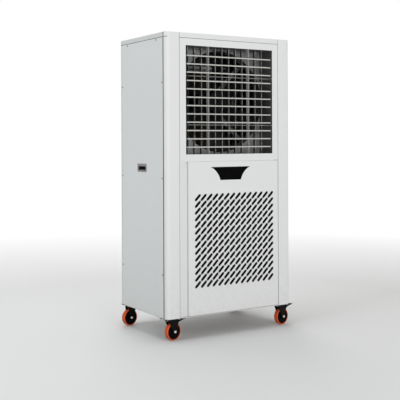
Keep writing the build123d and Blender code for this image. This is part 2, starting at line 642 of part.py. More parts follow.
with BuildPart() as service_door:
    box((DOOR_LEFT, DOOR_RIGHT), (FRONT, FRONT + DOOR_EDGE), (DOOR_BOTTOM, DOOR_TOP))
    cut(
        (DOOR_LEFT + SHEET, DOOR_RIGHT - SHEET),
        (FRONT + SHEET, FRONT + DOOR_EDGE),
        (DOOR_BOTTOM + SHEET, DOOR_TOP - SHEET),
    )
    # The hinge side has a shallower edge, so that it turns clear of the column.
    cut((DOOR_RIGHT - 30, DOOR_RIGHT), (FRONT + HINGE_EDGE, FRONT + DOOR_EDGE), (DOOR_BOTTOM, DOOR_TOP))
    # The opening side closes over the floor of the reveal.
    cut((DOOR_LEFT, DOOR_LEFT + 10), (FRONT + REVEAL_DEPTH - 1, FRONT + DOOR_EDGE), (DOOR_BOTTOM, DOOR_TOP))
    with BuildSketch(Plane.XZ.offset(-FRONT)):
        with Locations((DOOR_SLOT_CENTRE[0], BOTTOM + DOOR_SLOT_CENTRE[1])):
            slot_grid(DOOR_SLOT_COLUMNS, DOOR_SLOT_ROWS)
    extrude(amount=-SHEET, mode=Mode.SUBTRACT)
    with BuildSketch(Plane.XZ.offset(-FRONT)):
        add(fascia_cutout.sketch)
    extrude(amount=-SHEET, mode=Mode.SUBTRACT)
    with BuildSketch(Plane.XY.offset(DOOR_BOTTOM)):
        with Locations((HINGE_X, HINGE_Y)):
            Circle(HINGE_PIN_RADIUS + RUNNING)
    extrude(amount=DOOR_TOP - DOOR_BOTTOM, mode=Mode.SUBTRACT)
service_door.part.label = "service_door"
write("service_door", service_door.part)

with BuildPart() as control_fascia:
    with BuildSketch(Plane.XZ.offset(-(FRONT + 1))):
        add(fascia_face.sketch)
    extrude(amount=-2.5)
    with BuildSketch(Plane.XZ.offset(-(FRONT + 1.5))):
        with Locations((FASCIA_X, FASCIA_TOP - FASCIA_HEIGHT / 2)):
            RectangleRounded(2 * FASCIA_HALF_WIDTHS[0] + 16, FASCIA_HEIGHT + 14, 6)
    extrude(amount=-2)
    # Board housing behind the fascia.
    housing_x = (FASCIA_X - FASCIA_HALF_WIDTHS[2], FASCIA_X + FASCIA_HALF_WIDTHS[2])
    box(housing_x, (FRONT + 3.5, FRONT + 26), (FASCIA_TOP - FASCIA_HEIGHT + 4, FASCIA_TOP - 4))
control_fascia.part.label = "control_fascia"
write("control_fascia", control_fascia.part)

# ---------------------------------------------------------------- rear intake panel
INLET = (352, BOTTOM + 218)
DRAIN = (-352, BOTTOM + 60)

with BuildPart() as rear_panel:
    box((-REAR_SPAN, REAR_SPAN), (REAR - 8, REAR), (PANEL_BOTTOM, PANEL_TOP))
    cut(
        (-REAR_SPAN + SHEET, REAR_SPAN - SHEET),
        (REAR - 8, REAR - SHEET),
        (PANEL_BOTTOM + SHEET, PANEL_TOP - SHEET),
    )
    with BuildSketch(Plane.XZ.offset(-(REAR - SHEET))):
        with Locations((0, BOTTOM + REAR_SLOT_CENTRE)):
            slot_grid(REAR_SLOT_COLUMNS, REAR_SLOT_ROWS)
        with Locations(rear_screws):
            Circle(SCREW_HOLE)
        with Locations(INLET, DRAIN):
            Circle(14)
    extrude(amount=-SHEET, mode=Mode.SUBTRACT)
rear_panel.part.label = "rear_panel"
write("rear_panel", rear_panel.part)

# ---------------------------------------------------------------- filters, pads and water side
TANK_X = 395
TANK_Y = (-235, 248)
TANK_Z = (BOTTOM + 10, BOTTOM + 170)
TANK_WALL = 4
STUB_RADIUS = 10.5
DRAIN_PIPE_RADIUS = 9
REAR_PAD_Z = (TANK_Z[1] + 30, TOP - 160)
FRONT_PAD_Z = (TANK_Z[1] + 5, SEAM - 135)

with BuildPart() as front_filter:
    box((-262, 325), (FRONT + 30, FRONT + 36), (BOTTOM + 110, SEAM - 125))
with BuildPart() as rear_filter:
    box((-318, 318), (REAR - 24, REAR - 18), (REAR_PAD_Z[0] - 15, REAR_PAD_Z[1]))
write("dust_filters", front_filter.part, rear_filter.part)

with BuildPart() as front_pad:
    box((-262, 325), (FRONT + 46, FRONT + 126), FRONT_PAD_Z)
with BuildPart() as rear_pad:
    box((-315, 315), (REAR - 124, REAR - 34), REAR_PAD_Z)
write("cooling_pads", front_pad.part, rear_pad.part)

with BuildPart() as water_tank:
    box((-TANK_X, TANK_X), TANK_Y, TANK_Z)
    inner_x = TANK_X - TANK_WALL
    inner_y = (TANK_Y[0] + TANK_WALL, TANK_Y[1] - TANK_WALL)
    cut((-inner_x, inner_x), inner_y, (TANK_Z[0] + TANK_WALL, TANK_Z[1]))
    fillet(water_tank.edges().filter_by(Axis.Z), 3)
    with BuildSketch(Plane.XZ.offset(-TANK_Y[1])):
        with Locations(DRAIN):
            Circle(DRAIN_PIPE_RADIUS + RUNNING)
    extrude(amount=TANK_WALL, mode=Mode.SUBTRACT)
water_tank.part.label = "water_tank"
write("water_tank", water_tank.part)

PUMP_PLACE = (-330, 60)
PUMP_FLOOR = TANK_Z[0] + TANK_WALL
RISER_RADIUS = 10
HEADER_Z = REAR_PAD_Z[1] + 18
BRANCH_Z = FRONT_PAD_Z[1] + 16
with BuildPart() as water_pump:
    with BuildSketch(Plane.XY.offset(PUMP_FLOOR)):
        with Locations(PUMP_PLACE):
            RectangleRounded(84, 64, 10)
    extrude(amount=18)
    with BuildSketch(Plane.XY.offset(PUMP_FLOOR + 18)):
        with Locations(PUMP_PLACE):
            Circle(28)
    extrude(amount=62)
    fillet(water_pump.faces().sort_by(Axis.Z)[-1].edges(), 6)
    with BuildSketch(Plane.XY.offset(PUMP_FLOOR + 80)):
        with Locations(PUMP_PLACE):
            Circle(RISER_RADIUS + 3)
            Circle(RISER_RADIUS - 2, mode=Mode.SUBTRACT)
    extrude(amount=16)
water_pump.part.label = "water_pump"
write("water_pump", water_pump.part)

# Riser from the pump to a spray header over the rear pad, with a branch to a header over the front pad.
with BuildPart() as water_pipes:
    foot = (*PUMP_PLACE, PUMP_FLOOR + 96)
    rear_header_y, front_header_y = REAR - 79, FRONT + 86
    with BuildLine() as riser_path:
        FilletPolyline(
            foot,
            (PUMP_PLACE[0], PUMP_PLACE[1], PUMP_FLOOR + 140),
            (-375, PUMP_PLACE[1], PUMP_FLOOR + 190),
            (-375, PUMP_PLACE[1], HEADER_Z),
            (-375, rear_header_y, HEADER_Z),
            (310, rear_header_y, HEADER_Z),
            radius=20,
        )
    with BuildSketch(Plane(origin=foot, z_dir=(0, 0, 1))):
        Circle(RISER_RADIUS)
    sweep(path=riser_path.line)
    with BuildLine() as branch_path:
        FilletPolyline(
            (-375, PUMP_PLACE[1], BRANCH_Z),
            (-375, front_header_y, BRANCH_Z),
            (310, front_header_y, BRANCH_Z),
            radius=20,
        )
    with BuildSketch(Plane(origin=(-375, PUMP_PLACE[1], BRANCH_Z), z_dir=(0, -1, 0))):
        Circle(RISER_RADIUS)
    sweep(path=branch_path.line)
    with Locations((-375, PUMP_PLACE[1], BRANCH_Z)):
        Cylinder(RISER_RADIUS + 3, 44)
water_pipes.part.label = "water_pipes"
write("water_pipes", water_pipes.part)

# Float valve through the rear panel, and a drain cock on the tank's rear wall.
STUB_LENGTH = 22
ARM_PIVOT = (INLET[0], REAR - 96, INLET[1])
with BuildPart() as float_valve:
    with BuildSketch(Plane.XZ.offset(-(REAR + STUB_LENGTH + 4))):
        with Locations(INLET):
            Circle(STUB_RADIUS)
    extrude(amount=STUB_LENGTH + 4 + 84)
    with BuildSketch(Plane.XZ.offset(-(REAR + 4))):
        with Locations(INLET):
            RegularPolygon(17, 6)
    extrude(amount=4)
    with BuildSketch(Plane.XZ.offset(-(REAR - 80))):
        with Locations(INLET):
            Rectangle(20, 20)
    extrude(amount=10)
    # Clevis ears for the float arm.
    for side in (-1, 1):
        ear_x = sorted((INLET[0] + side * 5, INLET[0] + side * 9))
        box(ear_x, (REAR - 102, REAR - 88), (INLET[1] - 7, INLET[1] + 7))
    with BuildSketch(Plane.YZ.offset(INLET[0] - 10)):
        with Locations((ARM_PIVOT[1], ARM_PIVOT[2])):
            Circle(2 + RUNNING)
    extrude(amount=20, mode=Mode.SUBTRACT)
    with BuildSketch(Plane.XZ.offset(-(REAR + STUB_LENGTH + 4))):
        with Locations(INLET):
            Circle(6)
    extrude(amount=60, mode=Mode.SUBTRACT)

with BuildPart() as drain_cock:
    with BuildSketch(Plane.XZ.offset(-(REAR + 44))):
        with Locations(DRAIN):
            Circle(STUB_RADIUS)
    extrude(amount=21)
    with BuildSketch(Plane.XZ.offset(-(REAR + 24))):
        with Locations(DRAIN):
            Circle(DRAIN_PIPE_RADIUS)
    extrude(amount=REAR + 24 - TANK_Y[1] + TANK_WALL + 4)
    with BuildSketch(Plane.XZ.offset(-(REAR + 4))):
        with Locations(DRAIN):
            RegularPolygon(17, 6)
    extrude(amount=4)
    # Round valve body with a flat lever above it.
    with BuildSketch(Plane.XY.offset(DRAIN[1] - 14)):
        with Locations((DRAIN[0], REAR + 14)):
            Circle(9)
    extrude(amount=38)
    box((DRAIN[0] - 6, DRAIN[0] + 34), (REAR + 8, REAR + 20), (DRAIN[1] + 24, DRAIN[1] + 28))
    with BuildSketch(Plane.XZ.offset(-(REAR + 44))):
        with Locations(DRAIN):
            Circle(7)
    extrude(amount=24, mode=Mode.SUBTRACT)
write("water_fittings", float_valve.part, drain_cock.part)

FLOAT_REACH = (-100, -48)
FLOAT_RADIUS = 28
with BuildPart() as float_arm:
    pivot = Plane(origin=ARM_PIVOT, x_dir=(0, 1, 0), z_dir=(1, 0, 0))
    with BuildSketch(pivot.offset(-4)):
        Circle(5)
    extrude(amount=8)
    with BuildSketch(pivot.offset(-12)):
        Circle(2)
    extrude(amount=24)
    ball = (ARM_PIVOT[0], ARM_PIVOT[1] + FLOAT_REACH[0], ARM_PIVOT[2] + FLOAT_REACH[1])
    with BuildLine() as arm_line:
        Line(ARM_PIVOT, ball)
    with BuildSketch(Plane(origin=ARM_PIVOT, z_dir=arm_line.line % 0)):
        Circle(3)
    sweep(path=arm_line.line)
    with Locations(ball):
        Sphere(FLOAT_RADIUS)
float_arm.part.label = "float_arm"
write("float_arm", float_arm.part)

# ---------------------------------------------------------------- casters
PLATE = (96, 88, 3)
RACE_RADIUS = (41, 31)
RACE_DEPTH = 7
KINGPIN_RADIUS = 5
CROWN_Z = (CASTER_HEIGHT - 14, CASTER_HEIGHT - 11)
LEG_Y = (16.5, 19)
AXLE_RADIUS = 4
AXLE_HEAD_Y = 24
CORE_RADIUS = 42.5
PEDAL_PIVOT = (37.4, 100)
PEDAL_PIN_RADIUS = 3
PEDAL_TREAD = ((42, 114.2), (95, 113.5))
PEDAL_PAD_START = 60

with BuildPart() as caster_plate:
    box((-PLATE[0] / 2, PLATE[0] / 2), (-PLATE[1] / 2, PLATE[1] / 2), (CASTER_HEIGHT - PLATE[2], CASTER_HEIGHT))
    fillet(caster_plate.edges().filter_by(Axis.Z), 6)
    # Pressed raceway that narrows towards the fork.
    for below, radius in zip((0, RACE_DEPTH), RACE_RADIUS):
        with BuildSketch(Plane.XY.offset(CASTER_HEIGHT - PLATE[2] - below)):
            Circle(radius)
    loft()
    with BuildSketch(Plane.XY.offset(CROWN_Z[0] - 5)):
        Circle(KINGPIN_RADIUS)
    extrude(amount=12)
    with BuildSketch(Plane.XY.offset(CROWN_Z[0] - 5)):
        Circle(KINGPIN_RADIUS + 4)
    extrude(amount=3.5)
    with BuildSketch(Plane.XY.offset(CASTER_HEIGHT - PLATE[2])):
        with GridLocations(*PLATE_HOLES, 2, 2):
            Circle(BOLT_RADIUS + 0.3)
    extrude(amount=PLATE[2], mode=Mode.SUBTRACT)


def caster_fork(braked):
    """Fork about its kingpin, trailing towards +X; the braked one has ears for the pedal's pin."""
    with BuildPart() as fork:
        with BuildSketch(Plane.XY.offset(CROWN_Z[0])):
            Circle(30)
            with Locations((13, 0)):
                Rectangle(42, 2 * LEG_Y[1])
            Circle(KINGPIN_RADIUS + RUNNING, mode=Mode.SUBTRACT)
        extrude(amount=CROWN_Z[1] - CROWN_Z[0])
        with BuildSketch(Plane.XZ.offset(LEG_Y[0])):
            with Locations((6, CROWN_Z[1] - 2)):
                Rectangle(56, 4)
            if braked:
                with Locations(PEDAL_PIVOT):
                    Circle(7)
            with Locations((CASTER_TRAIL, WHEEL_RADIUS)):
                Circle(11)
            make_hull()
            with Locations((CASTER_TRAIL, WHEEL_RADIUS)):
                Circle(AXLE_RADIUS + RUNNING, mode=Mode.SUBTRACT)
            if braked:
                with Locations(PEDAL_PIVOT):
                    Circle(PEDAL_PIN_RADIUS + RUNNING, mode=Mode.SUBTRACT)
        extrude(amount=LEG_Y[1] - LEG_Y[0])
        mirror(about=Plane.XZ)
    with BuildPart() as axle:
        with BuildSketch(Plane.XZ.offset(-AXLE_HEAD_Y)):
            with Locations((CASTER_TRAIL, WHEEL_RADIUS)):
                Circle(AXLE_RADIUS)
        extrude(amount=2 * AXLE_HEAD_Y)
        for start in (LEG_Y[1], -AXLE_HEAD_Y):
            with BuildSketch(Plane.XZ.offset(start)):
                with Locations((CASTER_TRAIL, WHEEL_RADIUS)):
                    RegularPolygon(7.5, 6)
            extrude(amount=AXLE_HEAD_Y - LEG_Y[1])
    return Compound([fork.part.solid(), axle.part.solid()])


# Wheel about its own axle: a black core that runs on the axle, and a tread bonded round it.
with BuildPart() as wheel_core:
    with BuildSketch(Plane.XZ):
        Circle(CORE_RADIUS)
        Circle(AXLE_RADIUS + RUNNING, mode=Mode.SUBTRACT)
    extrude(amount=WHEEL_WIDTH / 2 - 1, both=True)
    for side in (-1, 1):
        with BuildSketch(Plane.XZ.offset(side * (WHEEL_WIDTH / 2 - 1))):
            Circle(CORE_RADIUS - 5)
            Circle(16, mode=Mode.SUBTRACT)
        extrude(amount=-side * 3, mode=Mode.SUBTRACT)
    with BuildSketch(Plane.XZ):
        Circle(11)
        Circle(AXLE_RADIUS + RUNNING, mode=Mode.SUBTRACT)
    extrude(amount=WHEEL_WIDTH / 2 + 1.5, both=True)
with BuildPart() as wheel_tread:
    with BuildSketch(Plane.XZ):
        Circle(WHEEL_RADIUS)
        Circle(CORE_RADIUS, mode=Mode.SUBTRACT)
    extrude(amount=WHEEL_WIDTH / 2, both=True)
    fillet(wheel_tread.edges().filter_by(GeomType.CIRCLE).group_by(SortBy.RADIUS)[-1], 3)
caster_wheel = Compound([wheel_core.part.solid(), wheel_tread.part.solid()])

with BuildPart() as brake_pedal:
    with BuildSketch(Plane.XZ.offset(-15.5)):
        with Locations(PEDAL_PIVOT):
            Circle(5)
    extrude(amount=31)
    with BuildSketch(Plane.XZ.offset(-20.5)):
        with Locations(PEDAL_PIVOT):
            Circle(PEDAL_PIN_RADIUS)
    extrude(amount=41)
    # Cam that meets the tread when the pedal is pressed down.
    with BuildSketch(Plane.XZ.offset(-11)):
        with Locations(PEDAL_PIVOT):
            Circle(4)
        with Locations((PEDAL_PIVOT[0] + 5.2 * cos(radians(268)), PEDAL_PIVOT[1] + 5.2 * sin(radians(268)))):
            Circle(2)
        make_hull()
    extrude(amount=22)
    # Two triangular cheeks under the tread plate.
    for start in (15.5, -13):
        with BuildSketch(Plane.XZ.offset(start - 2.5)):
            with Locations(PEDAL_PIVOT):
                Circle(5)
            with Locations(*PEDAL_TREAD):
                Circle(1.5)
            make_hull()
        extrude(amount=2.5)
    # Tread plate, which widens into a foot pad.
    slope = (PEDAL_TREAD[1][1] - PEDAL_TREAD[0][1]) / (PEDAL_TREAD[1][0] - PEDAL_TREAD[0][0])
    for start, half_span in ((PEDAL_TREAD[0][0], 15.5), (PEDAL_PAD_START, 22)):
        with BuildSketch(Plane.XZ.offset(-half_span)):
            with BuildLine():
                start_z = PEDAL_TREAD[0][1] + slope * (start - PEDAL_TREAD[0][0])
                Polyline(
                    (start, start_z - 1.5),
                    (PEDAL_TREAD[1][0], PEDAL_TREAD[1][1] - 1.5),
                    (PEDAL_TREAD[1][0], PEDAL_TREAD[1][1] + 1.5),
                    (start, start_z + 1.5),
                    close=True,
                )
            make_face()
        extrude(amount=2 * half_span)

# The front casters trail to the right and the rear ones to the left.
braked_fork, plain_fork = caster_fork(True), caster_fork(False)
corner_names = ("front_left", "front_right", "rear_left", "rear_right")
for corner, (x, y) in zip(corner_names, caster_spots):
    front = corner.startswith("front")
    turned = Location((x, y, 0), (0, 0, CASTER_YAW if front else CASTER_YAW + 180))
    write(f"caster_fork_{corner}", (braked_fork if front else plain_fork).moved(turned))
    write(f"caster_wheel_{corner}", caster_wheel.moved(turned * Location((CASTER_TRAIL, 0, WHEEL_RADIUS))))
    if front:
        write(f"brake_pedal_{corner}", brake_pedal.part.moved(turned))
write("caster_plates", *[caster_plate.part.moved(Location((x, y, 0))) for x, y in caster_spots])

# ---------------------------------------------------------------- fasteners
HEAD_RADIUS = 4.5
HEAD_HEIGHT = 2
SHANK_LENGTH = 12
BOLT_LENGTH = PLATE[2] + BASE_PLATE

with BuildPart() as panel_screw:
    with BuildSketch(Plane.XY):
        Circle(HEAD_RADIUS)
    extrude(amount=HEAD_HEIGHT)
    fillet(panel_screw.faces().sort_by(Axis.Z)[-1].edges(), 1.2)
    with BuildSketch(Plane.XY.offset(HEAD_HEIGHT)):
        Rectangle(5, 1)
        Rectangle(1, 5)
    extrude(amount=-1, mode=Mode.SUBTRACT)
    with BuildSketch(Plane.XY):
        Circle(SCREW_RADIUS)
    extrude(amount=-SHANK_LENGTH)
with BuildPart() as caster_bolt:
    with BuildSketch(Plane.XY):
        RegularPolygon(7, 6)
    extrude(amount=-5)
    with BuildSketch(Plane.XY):
        Circle(BOLT_RADIUS)
    extrude(amount=BOLT_LENGTH)

screw_seats = [
    Plane(origin=(side_x * WIDTH / 2, y, z), z_dir=(side_x, 0, 0))
    for side_x in (-1, 1)
    for y, z in side_screws
]
screw_seats += [Plane(origin=(x, REAR, z), z_dir=(0, 1, 0)) for x, z in rear_screws]
bolt_seats = [
    (x + side_x * PLATE_HOLES[0] / 2, y + side_y * PLATE_HOLES[1] / 2, CASTER_HEIGHT - PLATE[2])
    for x, y in caster_spots
    for side_x in (-1, 1)
    for side_y in (-1, 1)
]
screws = [panel_screw.part.moved(Location(seat)) for seat in screw_seats]
bolts = [caster_bolt.part.moved(Location(seat)) for seat in bolt_seats]
write("cabinet_fasteners", *screws, *bolts)
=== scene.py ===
"""Looks of the wheeled evaporative cooler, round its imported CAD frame. Metres, +Z up, front to -Y."""
import json
import math

import bpy
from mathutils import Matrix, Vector


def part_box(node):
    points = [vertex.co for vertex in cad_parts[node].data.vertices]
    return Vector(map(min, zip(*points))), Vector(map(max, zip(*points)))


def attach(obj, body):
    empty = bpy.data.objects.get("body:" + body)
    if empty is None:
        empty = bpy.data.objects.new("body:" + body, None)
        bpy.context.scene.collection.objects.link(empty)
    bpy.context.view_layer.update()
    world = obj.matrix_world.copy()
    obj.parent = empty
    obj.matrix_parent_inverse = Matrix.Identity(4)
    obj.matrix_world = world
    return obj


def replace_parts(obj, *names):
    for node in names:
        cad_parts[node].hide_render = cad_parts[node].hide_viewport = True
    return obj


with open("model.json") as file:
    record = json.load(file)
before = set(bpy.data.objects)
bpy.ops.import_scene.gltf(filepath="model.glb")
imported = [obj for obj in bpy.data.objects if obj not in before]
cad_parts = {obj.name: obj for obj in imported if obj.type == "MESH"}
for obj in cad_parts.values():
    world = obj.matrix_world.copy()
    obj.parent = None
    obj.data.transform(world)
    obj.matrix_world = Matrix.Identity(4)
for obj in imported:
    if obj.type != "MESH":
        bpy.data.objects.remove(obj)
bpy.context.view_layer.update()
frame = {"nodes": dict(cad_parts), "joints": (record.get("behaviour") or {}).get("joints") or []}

MM = 0.001
NODES = frame["nodes"]
JOINTS = {joint["name"]: joint for joint in frame["joints"]}
CORNERS = ("front_left", "front_right", "rear_left", "rear_right")
BRAKED_CORNERS = ("front_left", "front_right")
LOUVRE_COUNT = 12

# ---------------------------------------------------------------- places the paint depends on
COVER_LOW, COVER_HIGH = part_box("top_cover")
CABINET_MIDDLE = (COVER_LOW + COVER_HIGH) / 2
HALF_WIDTH, HALF_DEPTH = (COVER_HIGH.x - COVER_LOW.x) / 2, (COVER_HIGH.y - COVER_LOW.y) / 2
CABINET_BOTTOM, CABINET_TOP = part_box("chassis_frame")[0].z, COVER_HIGH.z
FRONT_PLANE = COVER_LOW.y
# The paint ends this deep in the outer sheets, and the painted inner shade starts at the second depth.
PAINT_END, INNER_SHADE_START = 0.8 * MM, 1.2 * MM
# On faces that look sideways the painted inner shade starts this much deeper.
INNER_SHADE_ALLOWANCE = 5 * MM
# Seen from the front it starts at this depth, behind the floor of the recessed strip.
REVEAL_CLEAR = 14 * MM
# The strip beside the door starts at the left column's edge and ends in the seam under the outlet panel.
OUTLET_PANEL_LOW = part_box("outlet_panel")[0]
COLUMN_EDGE = OUTLET_PANEL_LOW.x - 2 * MM
SEAM_TOP = OUTLET_PANEL_LOW.z - 0.3 * MM
# Levels of the gap under the lid's lips, and depths of the groove between a column and its side panel.
LIP_GAP = (COVER_LOW.z - 0.2 * MM, COVER_LOW.z + 3.2 * MM)
SIDE_PANEL_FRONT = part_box("left_side_panel")[0].y
GROOVE = (SIDE_PANEL_FRONT - 8.5 * MM, SIDE_PANEL_FRONT + 0.5 * MM)
# The painted shade in both reaches this far in from the cabinet's sides.
GAP_REACH = 13 * MM
# Dust lies on the paint up to the lower level and thins out to nothing at the upper one.
DUST_LEVELS = (CABINET_BOTTOM + 15 * MM, CABINET_BOTTOM + 375 * MM)
# Depth at which the pocket of a flush pull begins.
POCKET_DEPTH = 4 * MM
# Middle of the outlet, and the offset of its support strips from there.
OUTLET_LOW, OUTLET_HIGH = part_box("outlet_frame")
OUTLET_MIDDLE = (OUTLET_LOW + OUTLET_HIGH) / 2
STRIP_OFFSET = 138 * MM
# The painted highlight on a vane's front edge fades out between these depths.
VANE_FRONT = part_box("swing_vane_01")[0].y
VANE_HIGHLIGHT = (VANE_FRONT + 0.75 * MM, VANE_FRONT + 2.25 * MM)


# ---------------------------------------------------------------- node material builder
class Finish:
    """A Principled material with helpers for procedural detail in the row frame's metres."""

    def __init__(self, name, color, roughness=0.5, metallic=0.0, specular=0.5):
        self.material = bpy.data.materials.new(name)
        self.material.use_nodes = True
        self.nodes = self.material.node_tree.nodes
        self.links = self.material.node_tree.links
        self.bsdf = self.nodes["Principled BSDF"]
        self.set("Base Color", (*color, 1.0))
        self.set("Roughness", roughness)
        self.set("Metallic", metallic)
        self.set("Specular IOR Level", specular)
        self.coords = self.nodes.new("ShaderNodeTexCoord").outputs["Object"]
        self.color = self.rgb(color)
        self.normal = None

    def set(self, name, value):
        socket = self.bsdf.inputs[name]
        if isinstance(value, bpy.types.NodeSocket):
            self.links.new(value, socket)
        else:
            socket.default_value = value

    def node(self, kind, inputs=(), **settings):
        made = self.nodes.new(kind)
        for key, value in settings.items():
            setattr(made, key, value)
        for key, value in dict(inputs).items():
            if isinstance(value, bpy.types.NodeSocket):
                self.links.new(value, made.inputs[key])
            else:
                made.inputs[key].default_value = value
        return made

    def rgb(self, color):
        made = self.node("ShaderNodeRGB")
        made.outputs[0].default_value = (*color, 1.0)
        return made.outputs[0]

    def stretched(self, stretch):
        mapping = self.node("ShaderNodeMapping", {"Vector": self.coords, "Scale": stretch})
        return mapping.outputs["Vector"]

    def noise(self, scale, detail=3.0, stretch=None, distortion=0.0):
        vector = self.stretched(stretch) if stretch else self.coords
        made = self.node(
            "ShaderNodeTexNoise",
            {"Vector": vector, "Scale": scale, "Detail": detail, "Distortion": distortion},
        )
        return made.outputs["Fac"]

    def cells(self, scale):
        """A random value for each cell of a Voronoi pattern."""
        made = self.node("ShaderNodeTexVoronoi", {"Vector": self.coords, "Scale": scale}, feature="F1")
        return self.node("ShaderNodeSeparateColor", {"Color": made.outputs["Color"]}).outputs[0]

    def remap(self, value, low, high, out_low=0.0, out_high=1.0):
        made = self.node(
            "ShaderNodeMapRange",
            {"Value": value, "From Min": low, "From Max": high, "To Min": out_low, "To Max": out_high},
        )
        return made.outputs["Result"]

    def math(self, operation, a, b=0.0):
        return self.node("ShaderNodeMath", {0: a, 1: b}, operation=operation).outputs[0]

    def times(self, a, b):
        return self.math("MULTIPLY", a, b)

    def axis(self, name):
        split = self.node("ShaderNodeSeparateXYZ", {"Vector": self.coords})
        return split.outputs[name]

    def facing(self, name):
        """Component of the face's normal along an axis."""
        normal = self.node("ShaderNodeNewGeometry").outputs["Normal"]
        return self.node("ShaderNodeSeparateXYZ", {"Vector": normal}).outputs[name]

    def distance(self, name, middle):
        """Distance from a plane across an axis."""
        return self.math("ABSOLUTE", self.math("SUBTRACT", self.axis(name), middle))

    def band(self, name, low, high, soft=0.3 * MM):
        """1 between two places along an axis."""
        place = self.axis(name)
        return self.times(self.remap(place, low, low + soft), self.remap(place, high, high - soft))

    def tint(self, factor, color, strength=1.0):
        """Mixes the colour so far towards another one by a factor."""
        mix = self.node("ShaderNodeMix", {"Factor": self.times(factor, strength)}, data_type="RGBA")
        self.links.new(self.color, mix.inputs[6])
        mix.inputs[7].default_value = (*color, 1.0)
        self.color = mix.outputs[2]
        self.set("Base Color", self.color)

    def rough(self, factor, low, high):
        self.set("Roughness", self.remap(factor, 0.3, 0.7, low, high))

    def bump(self, height, distance, strength=1.0):
        inputs = {"Height": height, "Distance": distance, "Strength": strength}
        if self.normal is not None:
            inputs["Normal"] = self.normal
        self.normal = self.node("ShaderNodeBump", inputs).outputs["Normal"]
        self.set("Normal", self.normal)

    def crevice(self, reach, start=0.48, full=0.10):
        """1 deep in gaps and corners, 0 on open faces."""
        made = self.node("ShaderNodeAmbientOcclusion", {"Distance": reach}, samples=6)
        return self.remap(made.outputs["AO"], start, full)

    def edges(self, radius):
        """Rounds the shading of edges and gives a mask that is 1 along them."""
        rounded = self.node("ShaderNodeBevel", {"Radius": radius}, samples=4).outputs["Normal"]
        true = self.node("ShaderNodeNewGeometry").outputs["Normal"]
        dot = self.node("ShaderNodeVectorMath", {0: rounded, 1: true}, operation="DOT_PRODUCT")
        self.normal = rounded
        self.set("Normal", rounded)
        return self.remap(dot.outputs["Value"], 0.995, 0.86)


def shade(color, gain):
    return tuple(min(1.0, channel * gain) for channel in color)


# ---------------------------------------------------------------- painted sheet
def inside_cabinet(finish):
    """1 within the panels, where the cabinet is painted near-black as painted shade for its dark inside.

    A face that looks inwards counts as inside just behind the outer planes. The more it looks outwards,
    the deeper the limit, so that lips and grooves in the outside keep their paint.
    """
    from_middle = finish.math("SUBTRACT", finish.axis("X"), CABINET_MIDDLE.x)
    outward = finish.times(finish.math("SIGN", from_middle), finish.facing("X"))
    allowance = finish.times(finish.math("ADD", outward, 1.0), INNER_SHADE_ALLOWANCE)
    across = finish.math("ADD", finish.math("ABSOLUTE", from_middle), allowance)
    behind = finish.math("SUBTRACT", finish.axis("Y"), CABINET_MIDDLE.y)
    height = finish.axis("Z")
    mask = finish.remap(across, HALF_WIDTH - PAINT_END, HALF_WIDTH - INNER_SHADE_START)
    for place, outside, inside in (
        (behind, -HALF_DEPTH + REVEAL_CLEAR, -HALF_DEPTH + REVEAL_CLEAR + 0.5 * MM),
        (behind, HALF_DEPTH - PAINT_END, HALF_DEPTH - INNER_SHADE_START),
        (height, CABINET_TOP - PAINT_END, CABINET_TOP - INNER_SHADE_START),
        (height, CABINET_BOTTOM + PAINT_END, CABINET_BOTTOM + INNER_SHADE_START),
    ):
        mask = finish.times(mask, finish.remap(place, outside, inside))
    return mask


def shadow_gaps(finish):
    """1 where shade is painted: a dark line on the strip's edge, in the side grooves and under the lid's
    lips.
    """
    from_middle = finish.distance("X", CABINET_MIDDLE.x)
    at_side = finish.remap(from_middle, HALF_WIDTH - GAP_REACH - 1 * MM, HALF_WIDTH - GAP_REACH)
    at_front = finish.remap(finish.axis("Y"), FRONT_PLANE + 1.5 * MM, FRONT_PLANE + 0.5 * MM)
    below_seam = finish.remap(finish.axis("Z"), SEAM_TOP, SEAM_TOP - 0.5 * MM)
    beside_strip = finish.band("X", COLUMN_EDGE - 1.7 * MM, COLUMN_EDGE + 0.3 * MM)
    strip_edge = finish.times(beside_strip, finish.times(at_front, below_seam))
    groove = finish.times(at_side, finish.band("Y", *GROOVE))
    under_lip = finish.times(at_side, finish.band("Z", *LIP_GAP))
    return finish.math("MAXIMUM", strip_edge, finish.math("MAXIMUM", groove, under_lip))


def powder_coat(name, color):
    """White enamel with orange peel and dust low down, painted shade on downward faces and in the seams,
    and painted near-black shade inside.
    """
    finish = Finish(name, color, roughness=0.42, specular=0.45)
    edge = finish.edges(0.8 * MM)
    finish.tint(finish.noise(2.2, 2.0), shade(color, 0.965), 0.8)
    finish.tint(finish.noise(38, 4.0), shade(color, 0.985), 0.6)
    low_down = finish.remap(finish.axis("Z"), DUST_LEVELS[1], DUST_LEVELS[0])
    speckle = finish.remap(finish.noise(55, 6.0), 0.42, 0.75)
    finish.tint(finish.times(low_down, speckle), (0.60, 0.585, 0.55), 0.30)
    worn = finish.times(edge, finish.remap(finish.noise(90, 4.0), 0.35, 0.7))
    finish.tint(worn, (0.52, 0.52, 0.51), 0.5)
    # painted shade on faces that look downwards, such as the lid's lips
    underside = finish.remap(finish.facing("Z"), -0.05, -0.3)
    finish.tint(underside, (0.36, 0.35, 0.34), 0.8)
    # painted shade deep in gaps, seams and corners, from ambient occlusion
    finish.tint(finish.crevice(9 * MM), (0.10, 0.10, 0.10), 0.85)
    # painted shadow along the strip's edge, in the side grooves and under the lid's lips
    finish.tint(shadow_gaps(finish), (0.05, 0.05, 0.05), 0.93)
    # painted shade: near-black inside the cabinet, where its inside lies in shade
    finish.tint(inside_cabinet(finish), (0.012, 0.012, 0.012), 0.97)
    finish.rough(finish.noise(14, 3.0), 0.36, 0.47)
    finish.bump(finish.noise(950, 2.0), 0.06 * MM, 0.55)
    finish.bump(finish.noise(5, 1.0), 0.5 * MM, 0.12)
    return finish


